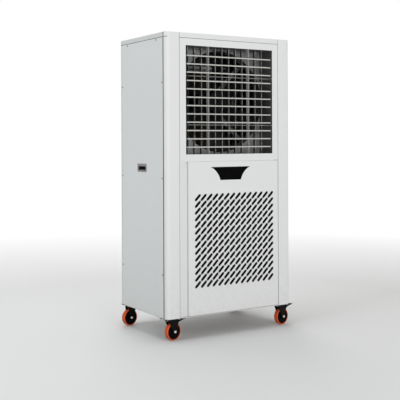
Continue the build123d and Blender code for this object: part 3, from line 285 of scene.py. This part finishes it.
# ---------------------------------------------------------------- bare and coated metal
def satin_aluminium(name, color):
    """Satin anodised extrusion with fine lines along its length."""
    finish = Finish(name, color, roughness=0.36, metallic=0.25, specular=0.5)
    lines = finish.noise(420, 3.0, stretch=(0.02, 1.0, 1.0))
    finish.tint(lines, shade(color, 0.90), 0.55)
    finish.tint(finish.noise(9, 3.0), shade(color, 0.93), 0.6)
    finish.rough(lines, 0.30, 0.44)
    finish.bump(lines, 0.05 * MM, 0.4)
    return finish


def plated_steel(name, color, metallic=1.0):
    """Plated fasteners with a patchy, slightly yellowed passivation."""
    finish = Finish(name, color, roughness=0.3, metallic=metallic)
    finish.tint(finish.noise(160, 4.0), shade(color, 0.72), 0.7)
    finish.tint(finish.noise(40, 3.0), (0.60, 0.56, 0.46), 0.18)
    finish.rough(finish.noise(260, 3.0), 0.24, 0.42)
    finish.bump(finish.noise(700, 2.0), 0.08 * MM, 0.5)
    return finish


def galvanised(name, color=(0.34, 0.343, 0.346)):
    """Hot-dip sheet with spangle."""
    finish = Finish(name, color, roughness=0.38, metallic=0.75)
    spangle = finish.cells(70)
    finish.tint(spangle, shade(color, 0.74), 0.8)
    finish.tint(finish.noise(6, 4.0), shade(color, 0.85), 0.5)
    finish.rough(spangle, 0.30, 0.50)
    finish.bump(spangle, 0.06 * MM, 0.5)
    return finish


def black_coat(name, color=(0.005, 0.005, 0.0055)):
    """Black electro-coat on pressed steel, rubbed brighter along its edges."""
    finish = Finish(name, color, roughness=0.36, specular=0.07)
    edge = finish.edges(0.7 * MM)
    finish.tint(finish.remap(finish.noise(90, 5.0), 0.62, 0.76), (0.035, 0.034, 0.032), 0.5)
    rubbed = finish.times(edge, finish.remap(finish.noise(220, 4.0), 0.45, 0.62))
    finish.tint(rubbed, (0.12, 0.115, 0.11), 0.7)
    finish.rough(finish.noise(60, 4.0), 0.24, 0.46)
    finish.bump(finish.noise(600, 3.0), 0.1 * MM, 0.5)
    return finish


def brass(name, color=(0.66, 0.47, 0.20)):
    finish = Finish(name, color, roughness=0.32, metallic=1.0)
    finish.tint(finish.noise(120, 4.0), (0.42, 0.29, 0.12), 0.6)
    finish.rough(finish.noise(200, 3.0), 0.24, 0.46)
    finish.bump(finish.noise(500, 3.0), 0.1 * MM, 0.5)
    return finish


# ---------------------------------------------------------------- outlet
def outlet_lining(name, color=(0.085, 0.086, 0.085)):
    """Dark lining; the upright strips for the blades and the level ones for the vanes are bare."""
    finish = Finish(name, color, roughness=0.45, specular=0.4)
    for axis, middle in (("X", OUTLET_MIDDLE.x), ("Z", OUTLET_MIDDLE.z)):
        from_middle = finish.distance(axis, middle)
        off_strip = finish.math("ABSOLUTE", finish.math("SUBTRACT", from_middle, STRIP_OFFSET))
        finish.tint(finish.remap(off_strip, 2.0 * MM, 1.4 * MM), (0.58, 0.58, 0.56), 1.0)
    finish.tint(finish.noise(14, 4.0), (0.13, 0.13, 0.125), 0.35)
    finish.rough(finish.noise(50, 4.0), 0.36, 0.55)
    finish.bump(finish.noise(600, 2.0), 0.06 * MM, 0.5)
    return finish


def vane_enamel(name, color=(0.075, 0.075, 0.073)):
    """Dark enamel on the vanes, darkened as painted shade, with a painted highlight along the front edge.
    """
    finish = Finish(name, color, roughness=0.5, specular=0.35)
    # painted highlight: the front edge is pale where light catches it
    front_edge = finish.remap(finish.axis("Y"), VANE_HIGHLIGHT[1], VANE_HIGHLIGHT[0])
    patchy = finish.remap(finish.noise(45, 4.0), 0.25, 0.6)
    finish.tint(finish.times(front_edge, patchy), (0.56, 0.556, 0.535), 0.9)
    finish.tint(finish.noise(20, 4.0), shade(color, 0.75), 0.5)
    finish.rough(finish.noise(60, 3.0), 0.42, 0.6)
    finish.bump(finish.noise(700, 2.0), 0.06 * MM, 0.5)
    return finish


# ---------------------------------------------------------------- plastics and paper
def moulded(name, color, roughness=0.5, grain=520, specular=0.4):
    """Moulded plastic with a fine spark-eroded grain."""
    finish = Finish(name, color, roughness=roughness, specular=specular)
    finish.tint(finish.noise(12, 3.0), shade(color, 0.82), 0.5)
    finish.rough(finish.noise(30, 4.0), roughness - 0.07, roughness + 0.08)
    finish.bump(finish.noise(grain, 3.0), 0.12 * MM, 0.6)
    return finish


def handle_plastic(name, color=(0.29, 0.27, 0.255)):
    """Warm grey moulding of the flush pulls; the pocket behind the rim is painted near-black as painted
    shade.
    """
    finish = moulded(name, color, roughness=0.52)
    from_middle = finish.distance("X", CABINET_MIDDLE.x)
    pocket_top = HALF_WIDTH - POCKET_DEPTH
    # painted shade: near-black in the pocket behind the rim
    finish.tint(finish.remap(from_middle, pocket_top, pocket_top - 1 * MM), (0.006, 0.006, 0.006), 0.97)
    return finish


def gloss_black(name):
    """Black acrylic touch panel with faint finger smears."""
    finish = Finish(name, (0.0012, 0.0012, 0.0014), roughness=0.24, specular=0.03)
    finish.tint(finish.noise(20, 4.0), (0.004, 0.004, 0.0045), 0.6)
    finish.rough(finish.noise(28, 5.0, stretch=(1.0, 1.0, 0.5), distortion=0.6), 0.16, 0.30)
    finish.bump(finish.noise(6, 1.0), 0.3 * MM, 0.1)
    return finish


def polyurethane(name, color=(0.86, 0.125, 0.026)):
    """Cast orange tread: waxy, a little dusty, with painted shade where it turns away from the view."""
    finish = Finish(name, color, roughness=0.38, specular=0.14)
    finish.set("Subsurface Weight", 0.12)
    finish.set("Subsurface Scale", 4 * MM)
    finish.set("Subsurface Radius", (1.0, 0.35, 0.12))
    finish.tint(finish.noise(45, 4.0), shade(color, 0.70), 0.6)
    finish.tint(finish.remap(finish.noise(170, 5.0), 0.50, 0.72), (0.30, 0.20, 0.12), 0.22)
    # painted shade where the tread turns away from the view
    turned_away = finish.node("ShaderNodeLayerWeight", {"Blend": 0.5}).outputs["Facing"]
    finish.tint(finish.remap(turned_away, 0.30, 0.85), shade(color, 0.22), 0.85)
    finish.rough(finish.noise(80, 4.0), 0.30, 0.55)
    finish.bump(finish.noise(420, 4.0), 0.18 * MM, 0.6)
    return finish


def pad_paper(name, color=(0.055, 0.037, 0.021)):
    """Resin-soaked kraft paper, darker and shinier where it is wet."""
    finish = Finish(name, color, roughness=0.62, specular=0.35)
    finish.tint(finish.noise(300, 4.0), shade(color, 0.70), 0.5)
    wet = finish.remap(finish.noise(11, 4.0, stretch=(1.0, 1.0, 0.35)), 0.42, 0.64)
    finish.tint(wet, shade(color, 0.45), 0.8)
    finish.set("Roughness", finish.remap(wet, 0.0, 1.0, 0.72, 0.30))
    finish.bump(finish.noise(900, 4.0), 0.2 * MM, 0.7)
    return finish


def nylon_net(name, color=(0.003, 0.003, 0.0035)):
    """Black woven nylon with a little pale dust."""
    finish = Finish(name, color, roughness=0.6, specular=0.05)
    finish.tint(finish.remap(finish.noise(60, 5.0), 0.5, 0.8), (0.02, 0.019, 0.017), 0.4)
    finish.rough(finish.noise(300, 2.0), 0.5, 0.7)
    finish.bump(finish.noise(1500, 2.0), 0.1 * MM, 0.6)
    return finish


WHITE = (0.745, 0.752, 0.748)
FINISHES = {
    "white": powder_coat("white_powder_coat", WHITE),
    "silver": satin_aluminium("satin_silver", (0.62, 0.615, 0.58)),
    "screw": plated_steel("dull_screw_steel", (0.30, 0.27, 0.25)),
    "nut": plated_steel("bright_nut_steel", (0.95, 0.95, 0.94), metallic=0.3),
    "galvanised": galvanised("galvanised_sheet"),
    "fascia": gloss_black("black_touch_panel"),
    "handle": handle_plastic("warm_grey_moulding"),
    "fan": moulded("black_fan_moulding", (0.006, 0.006, 0.0065), specular=0.12),
    "linkage": moulded("dark_grey_linkage", (0.05, 0.05, 0.048), specular=0.2),
    "motor": black_coat("motor_enamel", (0.03, 0.032, 0.035)),
    "tank": moulded("blue_grey_tank", (0.13, 0.18, 0.23), roughness=0.42),
    "pump": moulded("blue_pump", (0.02, 0.05, 0.16), roughness=0.4),
    "pipe": moulded("white_pipe", (0.66, 0.66, 0.63), roughness=0.35),
    "brass": brass("brass"),
    "black_steel": black_coat("black_electro_coat"),
    "core": moulded("black_wheel_core", (0.003, 0.003, 0.0035), roughness=0.4, grain=340, specular=0.05),
    "tread": polyurethane("orange_polyurethane"),
    "pad": pad_paper("wet_cellulose"),
    "net": nylon_net("black_nylon_net"),
    "vane": vane_enamel("grey_vane_enamel"),
    "lining": outlet_lining("dark_outlet_lining"),
}


# ---------------------------------------------------------------- finishes of the CAD nodes
def numbered(name):
    return tuple(f"{name}_{number:02d}" for number in range(1, LOUVRE_COUNT + 1))


NODE_FINISH = {
    "white": (
        "chassis_frame", "front_left_column", "front_right_column", "top_cover", "left_side_panel",
        "right_side_panel", "outlet_panel", "service_door", "rear_panel",
    ),
    "lining": ("outlet_frame",),
    "silver": numbered("tilt_blade"),
    "vane": numbered("swing_vane"),
    "screw": ("cabinet_fasteners",),
    "linkage": ("blade_link_bar", "vane_link_bar"),
    "galvanised": ("fan_bulkhead",),
    "fascia": ("control_fascia",),
    "handle": ("side_handles",),
    "fan": ("fan_rotor",),
    "motor": ("fan_motor",),
    "tank": ("water_tank",),
    "pump": ("water_pump",),
    "pipe": ("water_pipes",),
    "brass": ("water_fittings", "float_arm"),
    "black_steel": (
        "caster_plates",
        *(f"caster_fork_{corner}" for corner in CORNERS),
        *(f"brake_pedal_{corner}" for corner in BRAKED_CORNERS),
    ),
}

for finish_name, node_names in NODE_FINISH.items():
    for node_name in node_names:
        node_mesh = NODES[node_name].data
        node_mesh.materials.clear()
        node_mesh.materials.append(FINISHES[finish_name].material)


# ---------------------------------------------------------------- mesh helpers
def link_mesh(name, vertices, faces):
    mesh = bpy.data.meshes.new(name)
    mesh.from_pydata([tuple(v) for v in vertices], [], faces)
    mesh.update()
    made = bpy.data.objects.new(name, mesh)
    bpy.context.scene.collection.objects.link(made)
    return made


def new_piece(name, vertices, faces, finish, smooth=True):
    piece = link_mesh(name, vertices, faces)
    for polygon in piece.data.polygons:
        polygon.use_smooth = smooth
    piece.data.materials.append(FINISHES[finish].material)
    return piece


def edge_bevel(piece, width):
    modifier = piece.modifiers.new("edge_bevel", "BEVEL")
    modifier.width = width
    modifier.segments = 2
    modifier.limit_method = "ANGLE"
    modifier.angle_limit = math.radians(32)
    modifier.harden_normals = False
    piece.modifiers.new("even_normals", "WEIGHTED_NORMAL").keep_sharp = True


BOX_FACES = ((0, 1, 3, 2), (4, 6, 7, 5), (0, 4, 5, 1), (2, 3, 7, 6), (0, 2, 6, 4), (1, 5, 7, 3))


def box_mesh(boxes):
    """Vertices and faces for a list of (low corner, high corner) boxes."""
    vertices, faces = [], []
    for low, high in boxes:
        first = len(vertices)
        for x in (low[0], high[0]):
            for y in (low[1], high[1]):
                for z in (low[2], high[2]):
                    vertices.append((x, y, z))
        for quad in BOX_FACES:
            faces.append(tuple(first + i for i in quad))
    return vertices, faces


def lathe(name, profile, finish, centre, axis, segments=96, smooth=True):
    """A closed profile of (radius, height) points turned about an axis through centre."""
    turn = Vector((0, 0, 1)).rotation_difference(Vector(axis)).to_matrix()
    vertices, faces = [], []
    count = len(profile)
    for step in range(segments):
        angle = 2 * math.pi * step / segments
        for radius, height in profile:
            point = Vector((radius * math.cos(angle), radius * math.sin(angle), height))
            vertices.append(turn @ point + Vector(centre))
    for step in range(segments):
        here, there = step * count, ((step + 1) % segments) * count
        for i in range(count):
            j = (i + 1) % count
            faces.append((here + i, there + i, there + j, here + j))
    piece = new_piece(name, vertices, faces, finish, smooth)
    edge_bevel(piece, 0.4 * MM)
    return piece


# ---------------------------------------------------------------- caster wheels and axle nuts
def in_metres(profile):
    return [(radius * MM, height * MM) for radius, height in profile]


def both_sides(half):
    """A half profile on one side of a wheel's middle plane, joined to its mirror image."""
    return in_metres(half) + in_metres([(radius, -height) for radius, height in reversed(half)])


# Profiles in millimetres: radius, then distance along the axle from the wheel's middle plane.
CORE_PROFILE = both_sides([
    (4.1, 15.4), (10.6, 15.4), (11.2, 14.8), (11.2, 10.5), (12.4, 9.6), (15.6, 9.6), (17.0, 12.8),
    (19.5, 12.8), (21.0, 10.0), (33.0, 10.0), (35.5, 13.0), (41.8, 13.0), (42.6, 12.2),
])
TREAD_PROFILE = both_sides([
    (42.6, 12.6), (43.8, 13.7), (45.2, 13.9), (47.0, 12.8), (48.0, 10.8), (48.4, 7.6), (48.5, 3.5),
])
WASHER_PROFILE = in_metres([(3.9, 19.05), (10.2, 19.05), (10.2, 20.4), (3.9, 20.4)])
# Hexagon head with a chamfered top and the shank's end showing.
NUT_PROFILE = in_metres([
    (0.1, 20.4), (7.6, 20.4), (7.6, 24.6), (6.6, 26.0), (5.0, 26.0), (4.6, 27.4), (0.1, 27.4),
])


def wheel(corner, centre, axis):
    core = lathe(f"wheel_core_{corner}", CORE_PROFILE, "core", centre, axis)
    tread = lathe(f"wheel_tread_{corner}", TREAD_PROFILE, "tread", centre, axis)
    for piece, slot in ((core, "black_steel"), (tread, "orange_polyurethane")):
        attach(piece, f"wheel_{corner}")
    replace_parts(core, f"caster_wheel_{corner}")


def axle_ends(corner, centre, axis):
    for side, outward in (("near", -axis), ("far", axis)):
        washer_name = f"axle_washer_{side}_{corner}"
        washer = lathe(washer_name, WASHER_PROFILE, "black_steel", centre, outward, segments=48)
        nut_name = f"axle_nut_{side}_{corner}"
        nut = lathe(nut_name, NUT_PROFILE, "nut", centre, outward, segments=6, smooth=False)
        for piece in (washer, nut):
            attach(piece, f"fork_{corner}")


for corner in CORNERS:
    spin = JOINTS[f"wheel_spin_{corner}"]
    wheel(corner, Vector(spin["pos_m"]), Vector(spin["axis"]))
    axle_ends(corner, Vector(spin["pos_m"]), Vector(spin["axis"]))


# ---------------------------------------------------------------- dust filters
FILTER_BORDER = 14 * MM
FILTER_RIB = 4 * MM
NET_PITCH = 3.2 * MM
WIRE = 0.65 * MM


def solid_boxes(node):
    """Low and high corner of the front and of the rear solid in a node made of two plain blocks."""
    points = [vertex.co.copy() for vertex in NODES[node].data.vertices]
    middle = (min(p.y for p in points) + max(p.y for p in points)) / 2
    halves = [[p for p in points if p.y < middle], [p for p in points if p.y >= middle]]
    found = []
    for half in halves:
        low = Vector(min(p[i] for p in half) for i in range(3))
        high = Vector(max(p[i] for p in half) for i in range(3))
        found.append((low, high))
    return found


def filter_frame_boxes(low, high):
    """Channel round the filter with an upright and a level rib."""
    border, y0, y1 = FILTER_BORDER, low.y, high.y
    middle_x, middle_z = (low.x + high.x) / 2, (low.z + high.z) / 2
    z0, z1 = low.z + border, high.z - border
    x0, x1 = low.x + border, high.x - border
    return [
        ((low.x, y0, low.z), (high.x, y1, z0)),
        ((low.x, y0, z1), (high.x, y1, high.z)),
        ((low.x, y0, z0), (x0, y1, z1)),
        ((x1, y0, z0), (high.x, y1, z1)),
        ((middle_x - FILTER_RIB, y0, z0), (middle_x + FILTER_RIB, y1, z1)),
        ((x0, y0, middle_z - FILTER_RIB), (x1, y1, middle_z + FILTER_RIB)),
    ]


def net_boxes(low, high):
    """Upright wires and level wires that touch them from behind."""
    border, y = FILTER_BORDER, (low.y + high.y) / 2
    wires = []
    for i in range(1, int((high.x - low.x - 2 * border) / NET_PITCH)):
        x = low.x + border + i * NET_PITCH
        wires.append(((x - WIRE, y - WIRE, low.z + border), (x + WIRE, y, high.z - border)))
    for i in range(1, int((high.z - low.z - 2 * border) / NET_PITCH)):
        z = low.z + border + i * NET_PITCH
        wires.append(((low.x + border, y, z - WIRE), (high.x - border, y + WIRE, z + WIRE)))
    return wires


def filter_panel(name, low, high):
    """Black channel frame with a woven nylon net in it."""
    channel = box_mesh(filter_frame_boxes(low, high))
    surround = new_piece(f"{name}_frame", *channel, "fan", smooth=False)
    edge_bevel(surround, 0.8 * MM)
    net = new_piece(f"{name}_net", *box_mesh(net_boxes(low, high)), "net", smooth=False)
    for piece in (surround, net):
        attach(piece, "cabinet")
    return surround


front_filter, rear_filter = solid_boxes("dust_filters")
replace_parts(filter_panel("dust_filter_front", *front_filter), "dust_filters")
filter_panel("dust_filter_rear", *rear_filter)


# ---------------------------------------------------------------- cooling pads
FLUTE_PITCH = 7.4 * MM
FLUTE_WAVE = 15 * MM
FLUTE_LEAN = 0.55
FLUTE_STEPS = 6
PAPER = 0.5 * MM
PAD_RIM = 3 * MM
PAD_SETBACK = 1 * MM
CASSETTE_SHEET = 1.2 * MM
CASSETTE_LIP = 12 * MM
LIP_SHEET = 0.8 * MM


def flute_mesh(low, high):
    """Upright fluted sheets face to face, with the flutes of neighbours leaning opposite ways."""
    depth = high.y - low.y
    step = FLUTE_WAVE / FLUTE_STEPS
    vertices, faces = [], []
    for sheet in range(int((high.x - low.x - 2 * PAD_RIM) / FLUTE_PITCH)):
        x_middle = low.x + PAD_RIM + FLUTE_PITCH * (sheet + 0.5)
        lean = depth * (FLUTE_LEAN if sheet % 2 else -FLUTE_LEAN)
        first_row = -int(abs(lean) / step) - 1
        last_row = int((high.z - low.z) / step) + int(abs(lean) / step) + 1
        first = len(vertices)
        for row in range(first_row, last_row + 1):
            x = x_middle + 0.5 * FLUTE_PITCH * math.cos(2 * math.pi * row / FLUTE_STEPS)
            for y, shift in ((low.y + PAD_SETBACK, 0.0), (high.y - PAD_SETBACK, lean)):
                z = low.z + row * step + shift - (lean if lean > 0 else 0.0)
                vertices.append((x, y, min(max(z, low.z + PAD_RIM), high.z - PAD_RIM)))
        for row in range(last_row - first_row):
            a = first + 2 * row
            faces.append((a, a + 1, a + 3, a + 2))
    return vertices, faces


def cassette_boxes(low, high):
    """Four walls round the pad with a lip all round on both faces."""
    t, lip = CASSETTE_SHEET, CASSETTE_LIP
    boxes = [
        ((low.x, low.y, low.z), (high.x, high.y, low.z + t)),
        ((low.x, low.y, high.z - t), (high.x, high.y, high.z)),
        ((low.x, low.y, low.z + t), (low.x + t, high.y, high.z - t)),
        ((high.x - t, low.y, low.z + t), (high.x, high.y, high.z - t)),
    ]
    for y0, y1 in ((low.y, low.y + LIP_SHEET), (high.y - LIP_SHEET, high.y)):
        boxes.append(((low.x + t, y0, low.z + t), (high.x - t, y1, low.z + lip)))
        boxes.append(((low.x + t, y0, high.z - lip), (high.x - t, y1, high.z - t)))
        boxes.append(((low.x + t, y0, low.z + lip), (low.x + lip, y1, high.z - lip)))
        boxes.append(((high.x - lip, y0, low.z + lip), (high.x - t, y1, high.z - lip)))
    return boxes


def corrugated_pad(name, low, high):
    """Corrugated paper pad in a folded sheet cassette."""
    flutes = new_piece(f"{name}_flutes", *flute_mesh(low, high), "pad")
    thickness = flutes.modifiers.new("paper", "SOLIDIFY")
    thickness.thickness = PAPER
    thickness.offset = 0.0
    folded = box_mesh(cassette_boxes(low, high))
    cassette = new_piece(f"{name}_cassette", *folded, "galvanised", smooth=False)
    for piece, slot in ((flutes, "pad_paper"), (cassette, "galvanised_sheet")):
        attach(piece, "cabinet")
    return flutes


front_pad, rear_pad = solid_boxes("cooling_pads")
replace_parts(corrugated_pad("cooling_pad_front", *front_pad), "cooling_pads")
corrugated_pad("cooling_pad_rear", *rear_pad)


# ---------------------------------------------------------------- floor
WORLD_COLOR = (1.0, 1.0, 1.0)
WORLD_STRENGTH = 1.0
AMBIENT = 0.39
FLOOR_COLOR = (0.90, 0.90, 0.89)
FLOOR_RADIUS = 40.0
FLOOR_RINGS, FLOOR_SPOKES = 24, 96
FLOOR_FADE = (1.8, 5.0)


def disc_mesh():
    """Flat disc whose rings get wider outwards."""
    vertices, faces = [(0, 0, 0)], []
    for ring in range(1, FLOOR_RINGS + 1):
        radius = FLOOR_RADIUS * (ring / FLOOR_RINGS) ** 2
        for spoke in range(FLOOR_SPOKES):
            angle = 2 * math.pi * spoke / FLOOR_SPOKES
            vertices.append((radius * math.cos(angle), radius * math.sin(angle), 0))
    for spoke in range(FLOOR_SPOKES):
        faces.append((0, 1 + spoke, 1 + (spoke + 1) % FLOOR_SPOKES))
    for ring in range(FLOOR_RINGS - 1):
        for spoke in range(FLOOR_SPOKES):
            a = 1 + ring * FLOOR_SPOKES + spoke
            b = 1 + ring * FLOOR_SPOKES + (spoke + 1) % FLOOR_SPOKES
            faces.append((a, a + FLOOR_SPOKES, b + FLOOR_SPOKES, b))
    return vertices, faces


def stage_floor():
    """Pale floor that fades into the world's colour far from the cooler."""
    floor = link_mesh("floor", *disc_mesh())
    finish = Finish("pale_floor", FLOOR_COLOR, roughness=0.75, specular=0.15)
    finish.tint(finish.noise(3, 4.0), shade(FLOOR_COLOR, 0.985), 0.6)
    finish.bump(finish.noise(240, 3.0), 0.2 * MM, 0.25)
    glow = finish.node("ShaderNodeEmission", {"Color": (*WORLD_COLOR, 1.0), "Strength": WORLD_STRENGTH})
    length = finish.node("ShaderNodeVectorMath", {0: finish.coords}, operation="LENGTH")
    fade = finish.remap(length.outputs["Value"], *FLOOR_FADE)
    mix = finish.node("ShaderNodeMixShader")
    finish.links.new(fade, mix.inputs[0])
    finish.links.new(finish.bsdf.outputs[0], mix.inputs[1])
    finish.links.new(glow.outputs[0], mix.inputs[2])
    finish.links.new(mix.outputs[0], finish.nodes["Material Output"].inputs["Surface"])
    floor.data.materials.append(finish.material)
    return floor


stage_floor()


# ---------------------------------------------------------------- light
LIGHT_TARGET = (0.0, 0.0, 0.9)
# Name, place, side length, watts and colour.
LIGHTS = (
    ("key", (-0.5, -7.6, 1.2), 3.4, 238, (1, 1, 1)),
    ("fill_left", (-5.2, -0.6, 4.2), 3.0, 76, (0.87, 0.955, 1.0)),
    ("top", (0.0, 0.6, 5.0), 3.5, 60, (1, 1, 1)),
    ("back", (2.0, 5.2, 3.2), 3.2, 70, (1, 1, 1)),
)


def area_light(name, place, side, power, color):
    data = bpy.data.lights.new(name, "AREA")
    data.shape = "RECTANGLE"
    data.size = data.size_y = side
    data.energy = power
    data.color = color
    light = bpy.data.objects.new(name, data)
    light.location = place
    towards = Vector(LIGHT_TARGET) - Vector(place)
    light.rotation_euler = towards.to_track_quat("-Z", "Y").to_euler()
    bpy.context.scene.collection.objects.link(light)


def studio_world():
    """White to the camera, and dimmer as a light, so that the lamps shape the cabinet."""
    world = bpy.data.worlds.new("studio")
    world.use_nodes = True
    nodes, links = world.node_tree.nodes, world.node_tree.links
    background = nodes["Background"]
    background.inputs["Color"].default_value = (*WORLD_COLOR, 1.0)
    path = nodes.new("ShaderNodeLightPath")
    strength = nodes.new("ShaderNodeMapRange")
    strength.inputs["To Min"].default_value = AMBIENT
    strength.inputs["To Max"].default_value = WORLD_STRENGTH
    links.new(path.outputs["Is Camera Ray"], strength.inputs["Value"])
    links.new(strength.outputs["Result"], background.inputs["Strength"])
    return world


scene = bpy.context.scene
scene.world = studio_world()
for light_settings in LIGHTS:
    area_light(*light_settings)
scene.view_settings.view_transform = "Standard"


# ---------------------------------------------------------------- camera
# Place in metres and turn in degrees.
CAMERA_PLACE = (-2.6802, -4.2719, 1.1066)
CAMERA_TURN = (90.0, 0.235, -31.759)
LENS = 75.09
SENSOR_WIDTH = 36.0
LENS_SHIFT = -0.14884
HEIGHT_TOLERANCE = 0.0005


def shift_lens(camera):
    """Shifts the lens only at this camera height, so that other viewpoints stay centred."""
    driver = camera.data.driver_add("shift_y").driver
    driver.type = "SCRIPTED"
    height = driver.variables.new()
    height.name = "z"
    height.type = "TRANSFORMS"
    height.targets[0].id = camera
    height.targets[0].transform_type = "LOC_Z"
    driver.expression = f"{LENS_SHIFT} * (abs(z - {CAMERA_PLACE[2]}) < {HEIGHT_TOLERANCE})"


camera = bpy.data.objects.new("camera", bpy.data.cameras.new("camera"))
camera.data.lens = LENS
camera.data.sensor_width = SENSOR_WIDTH
camera.location = CAMERA_PLACE
camera.rotation_euler = [math.radians(angle) for angle in CAMERA_TURN]
scene.collection.objects.link(camera)
scene.camera = camera
shift_lens(camera)
